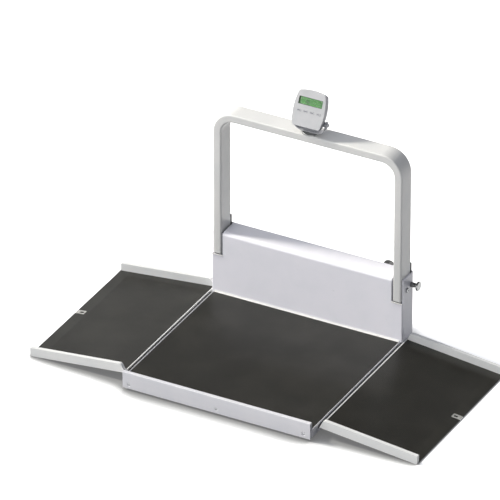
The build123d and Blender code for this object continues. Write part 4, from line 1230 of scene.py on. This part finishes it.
@dataclass
class Castors:
    """The swivelling and fixed wheels on the panel's back."""

    wheel_x: float = 0.272
    swivel_z: float = 0.229
    swivel_reach: float = 0.028
    fixed_z: float = 0.062
    axle_y: float = 0.4175
    nut_reach: float = 0.0186
    plate_y: float = 0.3682
    plate_half: float = 0.024
    bolt_radius: float = 0.0045
    nut_radius: float = 0.006

    def dress(self) -> None:
        """Dresses forks and plates, and builds the wheels, bolts and axle nuts."""
        for side in Side:
            word = side.word
            dress_nodes(ZINC, (f"castor_plate_{word}", f"castor_fork_{word}", f"fixed_fork_{word}"))
            Wheel(f"castor_wheel_{word}", f"castor_wheel_{word}").dress()
            Wheel(f"fixed_wheel_{word}", f"fixed_wheel_{word}").dress()
            middle, half, reach = side.value * self.wheel_x, self.plate_half, self.nut_reach
            corners = [(middle + sx * half, self.swivel_z + sz * half) for sx in (-1, 1) for sz in (-1, 1)]
            bolts = [facing((x, self.plate_y, z), (0, 1, 0)) for x, z in corners]
            fit_heads(f"castor_plate_bolts_{word}", Head.HEX, self.bolt_radius, bolts, ZINC, "platform")
            swivel = self.swivel_z + side.value * self.swivel_reach
            axles = (("castor", swivel, f"castor_fork_{word}"), ("fixed", self.fixed_z, "platform"))
            for label, height, body in axles:
                nuts = [facing((middle + way * reach, self.axle_y, height), (way, 0, 0)) for way in (-1, 1)]
                fit_heads(f"{label}_axle_nuts_{word}", Head.HEX, self.nut_radius, nuts, ZINC, body)


@dataclass
class Panel:
    """The column panel with its cover, rests and pivot fittings."""

    cover_y: float = 0.365
    screw_rows: tuple[float, ...] = (0.066, 0.298)
    screw_columns: tuple[float, ...] = (-0.34, -0.17, 0.0, 0.17, 0.34)
    screw_radius: float = 0.0042
    plate_size: Point = (0.09, 0.0008, 0.05)
    plate_z: float = 0.18
    plate_margin: float = 0.005
    plate_rivet_radius: float = 0.0016
    sill_place: tuple[float, float] = (0.2748, 0.0492)
    sill_leg: float = 0.0062
    sill_half: float = 0.3985
    notch_x: tuple[float, float] = (0.363, 0.410)
    liner_size: Point = (0.0055, 0.0108, 0.097)
    liner_place: tuple[float, float] = (0.2822, 0.2655)
    lip: Profile = (
        (0.2722, 0.2136),
        (0.2722, 0.2165),
        (0.2727, 0.2170),
        (0.2752, 0.2170),
        (0.2752, 0.2128),
        (0.2727, 0.2130),
    )
    pivot: tuple[float, float] = (0.314, 0.259)
    socket: Profile = ((0.0, -0.0032), (0.0046, -0.0032), (0.0046, 0.002), (0.0, 0.002))

    def dress(self) -> None:
        """Dresses the CAD nodes and adds the sill, the screws, the blank plate and the notches' trims, whose
        grey block is painted shade of the gap.
        """
        dress_nodes(PANEL_PAINT, ("panel_shell", "panel_cover"))
        dress_nodes(REST, both("leg_rest"))
        dress_nodes(PRIMER, both("pivot_bracket"))
        dress_nodes(DARK, ("summing_box",))
        spots = [(x, self.cover_y, z) for x in self.screw_columns for z in self.screw_rows]
        places = [facing(spot, (0, 1, 0)) for spot in spots]
        fit_heads("cover_screws", Head.CROSS, self.screw_radius, places, ZINC, "platform")
        self.sill()
        self.blank_plate()
        for side in Side:
            self.pivot_bolt(side)
            self.notch_trim(side)

    def sill(self) -> None:
        """Lays the bright cove along the foot of the panel's front, where the mat ends."""
        (front, floor_z), leg = self.sill_place, self.sill_leg
        corners = ((0, 0), (-leg, 0), (-leg, 0.0006), (-0.45 * leg, 0.3 * leg), (-0.0006, leg), (0, leg))
        mesh = bar_mesh([(front + y, floor_z + z) for y, z in corners], (-self.sill_half, self.sill_half))
        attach(new_piece("panel_sill_strip", mesh, RAIL_PAINT), "platform")

    def notch_trim(self, side: Side) -> None:
        """Lines the notch beside a leg with a grey block whose grey is painted shade of the gap, and edges
        its bottom, clear of the leg by a millimetre.

        Args:
            side: Which leg's.
        """
        inner, outer = self.notch_x
        middle = Matrix.Translation((side.value * (inner + self.liner_size[0] / 2), *self.liner_place))
        # Grey block beside the leg: its grey is painted shade of the notch gap.
        shade_liner = mesh_from(lambda work: add_block(work, self.liner_size, middle, 0.0008))
        edging = bar_mesh(self.lip, (side.value * inner, side.value * outer))
        word = side.word
        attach(new_piece(f"notch_liner_{word}", shade_liner, SHADE_LINER), "platform")
        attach(new_piece(f"notch_edging_{word}", edging, RAIL_PAINT), "platform")
        LOG.info("notch_%s: liner and edging", word)

    def blank_plate(self) -> None:
        """Adds the bare plate on the rear cover, held by four small rivets."""
        width, thick, height = self.plate_size
        place = Matrix.Translation((0.0, self.cover_y + thick / 2, self.plate_z))
        mesh = mesh_from(lambda work: add_block(work, self.plate_size, place, 0.0003))
        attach(new_piece("blank_plate", mesh, MILLED), "platform")
        across, up = width / 2 - self.plate_margin, height / 2 - self.plate_margin
        corners = [(sx * across, self.plate_z + sz * up) for sx in (-1, 1) for sz in (-1, 1)]
        places = [facing((x, self.cover_y + thick, z), (0, 1, 0)) for x, z in corners]
        fit_heads("blank_plate_rivets", Head.RIVET, self.plate_rivet_radius, places, ZINC, "platform")

    def pivot_bolt(self, side: Side) -> None:
        """Cuts the key's socket into a pivot bolt's head.

        Args:
            side: Which bolt's.
        """
        node = f"pivot_bolt_{side.word}"
        piece = merged_copy(node, f"{node}_socketed", ZINC)
        low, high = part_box(node)
        face = high.x if side is Side.RIGHT else low.x
        carve(piece, turned_mesh(self.socket, facing((face, *self.pivot), (side.value, 0, 0)), 6))
        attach(piece, "platform")
        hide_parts(node)
        LOG.info("%s: socketed head", node)


@dataclass
class Handrail:
    """The handrail, its yoke and pad, and the lock plunger."""

    yoke_top: Point = (0.014, 0.300, 0.856)
    screw_radius: float = 0.0038
    knob_middle: Point = (0.441, 0.3466, 0.268)
    knob_radius: float = 0.0185
    ridge_sink: float = 0.0001
    ridges: int = 60
    ridge: Point = (0.0008, 0.0009, 0.0038)

    def dress(self) -> None:
        """Dresses the CAD nodes and adds the yoke's screws and the knob's knurl."""
        dress_nodes(RAIL_PAINT, ("handrail",))
        dress_nodes(YOKE_PAINT, ("tilt_yoke",))
        dress_nodes(KNOB, ("plunger_sleeve", "plunger_pin_and_knob", "yoke_pad"))
        x, y, z = self.yoke_top
        screws = [facing((way * x, y, z), (0, 0, 1)) for way in (-1, 1)]
        fit_heads("yoke_screws", Head.CROSS, self.screw_radius, screws, ZINC, "handrail")
        values = {"Count": self.ridges, "Radius": self.knob_radius - self.ridge_sink, "Rib": self.ridge}
        knurl = RibRing().apply("plunger_knurl", KNOB, Centre=self.knob_middle, **values)
        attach(knurl, "lock_plunger")
        LOG.info("plunger_knurl: %d ridges", self.ridges)


@dataclass
class Indicator:
    """The indicator head: its case, window, display, keys and fittings."""

    foot: Point = (0.0, 0.258, 0.886)
    lean: float = math.radians(26.3)
    key_rise: float = 0.060
    key_pitch: float = 0.0275
    window_rise: float = 0.099
    field_depth: float = 0.0047
    field: Sequence[float] = (0.0017, 0.0, 0.0956, 0.027)
    # Dark border round the field; its wide left bar is painted shade of the window's recess.
    surround: Bars = (
        (-0.0482, 0.0, 0.0041, 0.0306),
        (0.0502, 0.0, 0.0012, 0.0306),
        (0.0017, 0.0144, 0.0958, 0.0018),
        (0.0017, -0.0144, 0.0958, 0.0018),
    )
    digits: str = "00.0"
    digit_start: float = 0.004
    digit_pitch: float = 0.0125
    point_pitch: float = 0.0022
    point: Sequence[float] = (-0.0012, -0.0082, 0.0016, 0.0016)
    marks: tuple[float, ...] = (0.0120, 0.0145, 0.0125, 0.0120)
    mark_height: float = 0.0032
    mark_lift: float = 0.00082
    screw_across: float = 0.040
    screw_depth: float = 0.0432
    screw_rises: tuple[float, float] = (0.026, 0.122)
    screw_radius: float = 0.003

    def place(self, across: float, rise: float, depth: float) -> Matrix:
        """Makes a frame on the head's face: X to the right, Y up the face, Z out of it.

        Args:
            across: How far right of the middle.
            rise: How far up the face.
            depth: How far behind it.

        Returns:
            The frame.
        """
        up = Vector((0, math.sin(self.lean), math.cos(self.lean)))
        back = Vector((0, math.cos(self.lean), -math.sin(self.lean)))
        origin = Vector(self.foot) + Vector((across, 0, 0)) + rise * up + depth * back
        turn = Matrix((Vector((1, 0, 0)), up, -back)).transposed().to_4x4()
        return Matrix.Translation(origin) @ turn

    def dress(self) -> None:
        """Dresses the CAD nodes and adds the display, the marks and the screws."""
        dress_nodes(CASE, ("head_bezel",))
        dress_nodes(CASE_BACK, ("head_back", "battery_cover"))
        dress_nodes(WINDOW, ("head_window",))
        dress_nodes(BOARD, ("head_board",))
        dress_nodes(DARK, ("cable_gland",))
        dress_nodes(KNOB_GREY, both("tilt_knob"))
        dress_nodes(KEY, (f"key_{number}" for number in range(1, 5)))
        self.display()
        self.key_marks()
        corners = [(sx * self.screw_across, rise) for sx in (-1, 1) for rise in self.screw_rises]
        turn = Matrix.Rotation(math.pi, 4, "Y")
        screws = [self.place(x, rise, self.screw_depth) @ turn for x, rise in corners]
        fit_heads("case_screws", Head.CROSS, self.screw_radius, screws, ZINC, "indicator_head")

    def plates(
        self, name: str, finish: Finish, bars: Bars, depth: float, thick: float, bevel: float = 0.0
    ) -> Object:
        """Lays thin plates on the head's face as one piece.

        Args:
            name: The piece's name.
            finish: Its finish.
            bars: Across, rise, width and height of each plate.
            depth: How far behind the face they lie.
            thick: Their thickness.
            bevel: The width of their edges' bevel.

        Returns:
            The piece.
        """

        def build(work: BMesh) -> None:
            """Adds the plates."""
            for across, rise, width, height in bars:
                add_block(work, (width, height, thick), self.place(across, rise, depth), bevel)

        return new_piece(name, mesh_from(build), finish, rounded=False)

    def display(self) -> None:
        """Builds the lit field behind the window, its dark border with painted recess shade on the left, and
        the digits' segments.
        """
        depth = self.field_depth
        parts = (
            ("display_field", DISPLAY, (self.field,), depth, 0.0003, 0.0001),
            ("display_surround", SURROUND_AND_SHADE, self.surround, depth, 0.0006),
            ("display_digits", SEGMENT, self.lit(), depth - 0.0002, 0.0002),
        )
        for name, finish, bars, *sizes in parts:
            raised = [(across, self.window_rise + rise, *size) for across, rise, *size in bars]
            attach(self.plates(name, finish, raised, *sizes), "indicator_head")
        LOG.info("display: %s", self.digits)

    def lit(self) -> Bars:
        """Lists the lit bars of the noughts and the point.

        Returns:
            Across, rise, width and height of each bar.
        """
        half, tall, bar = 0.0038, 0.0080, 0.0015
        nought = [(half, rise, 2 * half - bar, bar) for rise in (-tall, tall)]
        corners = [(across, rise) for across in (0.0, 2 * half) for rise in (-tall / 2, tall / 2)]
        nought += [(across, rise, bar, tall - bar) for across, rise in corners]
        bars, x = [], self.digit_start
        for sign in self.digits:
            if sign == ".":
                parts, pitch = [self.point], self.point_pitch
            else:
                parts, pitch = nought, self.digit_pitch
            bars += [(x + across, *rest) for across, *rest in parts]
            x += pitch
        return bars

    def key_marks(self) -> None:
        """Prints a plain short bar on each key."""
        for index, width in enumerate(self.marks):
            bar = ((index - 1.5) * self.key_pitch, self.key_rise, width, self.mark_height)
            piece = self.plates(f"key_{index + 1}_mark", KEY_MARK, (bar,), -self.mark_lift, 0.0001)
            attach(piece, f"key_{index + 1}")


@dataclass
class Studio:
    """The floor, the light and the camera."""

    floor_half: float = 40.0
    camera_place: Point = (12.484376, -23.520842, 16.216560)
    look: Point = (-0.4061104, 0.7591854, -0.5086372)
    lens: float = 590.667
    sensor: float = 36.0
    far: float = 200.0
    sky: float = 0.25
    sky_lean: tuple[float, float] = (-0.62, 1.3)
    sky_tint: Colour = (0.875, 0.91, 1.0)
    key_tint: Colour = (1.0, 0.97, 0.895)
    floor_grey: Colour = (0.18, 0.18, 0.18)
    floor_lift: float = 0.66
    shade_reach: float = 0.15
    shade_band: tuple[float, float] = (0.5, 0.99)
    shade_curve: float = 1.5
    shade_depth: float = 0.2
    shade_samples: int = 24
    mirror_high: tuple[float, float] = (0.36, 0.56)
    mirror_right: tuple[float, float] = (-0.6, 0.5)
    mirror_fall: float = 0.35

    def build(self) -> None:
        """Builds floor, light and camera."""
        self.floor()
        self.world()
        self.lamp("lamp_left", 3.36, 10.0, (0.77, 0.13, -0.625), self.key_tint)
        self.lamp("lamp_front", 1.74, 55.0, (0.45, 0.88, -0.12), WHITE)
        self.camera()

    def floor(self) -> None:
        """Lays the pale floor; seen by the camera it is lifted to white, keeps its lamp shadows, and carries
        a painted contact shadow near the object.
        """
        half = self.floor_half
        mesh = bpy.data.meshes.new("floor")
        corners = [(-half, -half, 0), (half, -half, 0), (half, half, 0), (-half, half, 0)]
        mesh.from_pydata(corners, [], [(0, 1, 2, 3)])
        floor = put("floor", mesh)
        made = bpy.data.materials.new("pale floor")
        sheet = Sheet.fresh(made)
        path = sheet.place("ShaderNodeLightPath").outputs
        seen = sheet.math("ADD", path["Is Camera Ray"], path["Is Glossy Ray"], clamp=True)
        seen = sheet.math("ADD", seen, path["Is Transmission Ray"], clamp=True)
        # Painted contact shadow: ambient occlusion near the object darkens the floor's white lift and its
        # seen tone.
        values = {"Distance": self.shade_reach}
        near = sheet.place("ShaderNodeAmbientOcclusion", values, samples=self.shade_samples).outputs["AO"]
        open_sky = sheet.math("POWER", sheet.ramp(near, *self.shade_band), self.shade_curve)
        shade = sheet.math("MULTIPLY_ADD", open_sky, 1.0 - self.shade_depth, self.shade_depth)
        lift = sheet.math("MULTIPLY", sheet.math("MULTIPLY", seen, self.floor_lift), shade)
        glow = sheet.place("ShaderNodeEmission", {"Color": WHITE, "Strength": lift})
        plain = sheet.place("ShaderNodeBsdfDiffuse", {"Color": sheet.blend(seen, self.floor_grey, shade)})
        surface = sheet.place("ShaderNodeAddShader", {0: plain.outputs[0], 1: glow.outputs[0]})
        sheet.place("ShaderNodeOutputMaterial", {"Surface": surface.outputs[0]})
        mesh.materials.append(made)

    def world(self) -> None:
        """Lights everything softly, shows as white, and is mirrored white low down and dark overhead."""
        world = bpy.data.worlds.new("studio")
        bpy.context.scene.world = world
        sheet = Sheet.fresh(world)
        path = sheet.place("ShaderNodeLightPath").outputs
        seen = sheet.math("ADD", path["Is Camera Ray"], path["Is Transmission Ray"], clamp=True)
        glossy = path["Is Glossy Ray"]
        way = sheet.place("ShaderNodeTexCoord").outputs["Generated"]
        parts = sheet.place("ShaderNodeSeparateXYZ", {0: way}).outputs
        right = sheet.math("MULTIPLY_ADD", sheet.ramp(parts["X"], *self.mirror_right), -self.mirror_fall, 1.0)
        low = sheet.math("SUBTRACT", 1.0, sheet.ramp(parts["Z"], *self.mirror_high))
        mirrored = sheet.math("MULTIPLY", right, low)
        lean = sheet.math("MULTIPLY_ADD", parts["X"], self.sky * self.sky_lean[0], self.sky)
        lean = sheet.math("MULTIPLY_ADD", parts["Z"], self.sky * self.sky_lean[1], lean)
        bounced = sheet.math("MULTIPLY_ADD", glossy, sheet.math("SUBTRACT", mirrored, lean), lean)
        strength = sheet.math("MULTIPLY_ADD", seen, sheet.math("SUBTRACT", 1.0, bounced), bounced)
        tint = sheet.blend(sheet.math("ADD", seen, glossy, clamp=True), self.sky_tint, WHITE)
        ground = sheet.place("ShaderNodeBackground", {"Color": tint, "Strength": strength})
        sheet.place("ShaderNodeOutputWorld", {"Surface": ground.outputs[0]})

    def lamp(self, name: str, power: float, spread: float, aim: Point, tint: Colour) -> None:
        """Hangs a sun lamp.

        Args:
            name: The lamp's name.
            power: Its strength.
            spread: Its angle in degrees.
            aim: The way its light goes.
            tint: Its colour.
        """
        light = bpy.data.lights.new(name, "SUN")
        light.energy = power
        light.angle = math.radians(spread)
        light.color = tint
        self.aim(put(name, light), aim)

    def camera(self) -> None:
        """Sets the camera at the photograph's angle and distance."""
        data = bpy.data.cameras.new("camera")
        data.sensor_width = self.sensor
        data.lens = self.lens
        data.clip_end = self.far
        camera = put("camera", data)
        camera.location = self.camera_place
        self.aim(camera, self.look)
        bpy.context.scene.camera = camera

    @staticmethod
    def aim(thing: Object, way: Point) -> None:
        """Turns a lamp or camera so that it looks along a direction."""
        thing.rotation_mode = "QUATERNION"
        thing.rotation_quaternion = Vector(way).to_track_quat("-Z", "Y")


def main() -> None:
    """Loads the frame, dresses every sub-assembly and sets up the studio."""
    logging.basicConfig(level=logging.INFO, format="%(name)s: %(message)s")
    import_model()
    Platform().dress()
    for side in Side:
        Ramp(side).dress()
    Panel().dress()
    Castors().dress()
    Handrail().dress()
    Indicator().dress()
    Studio().build()
    scene = bpy.context.scene
    scene.view_settings.view_transform = "Standard"


if __name__ == "__main__":
    main()
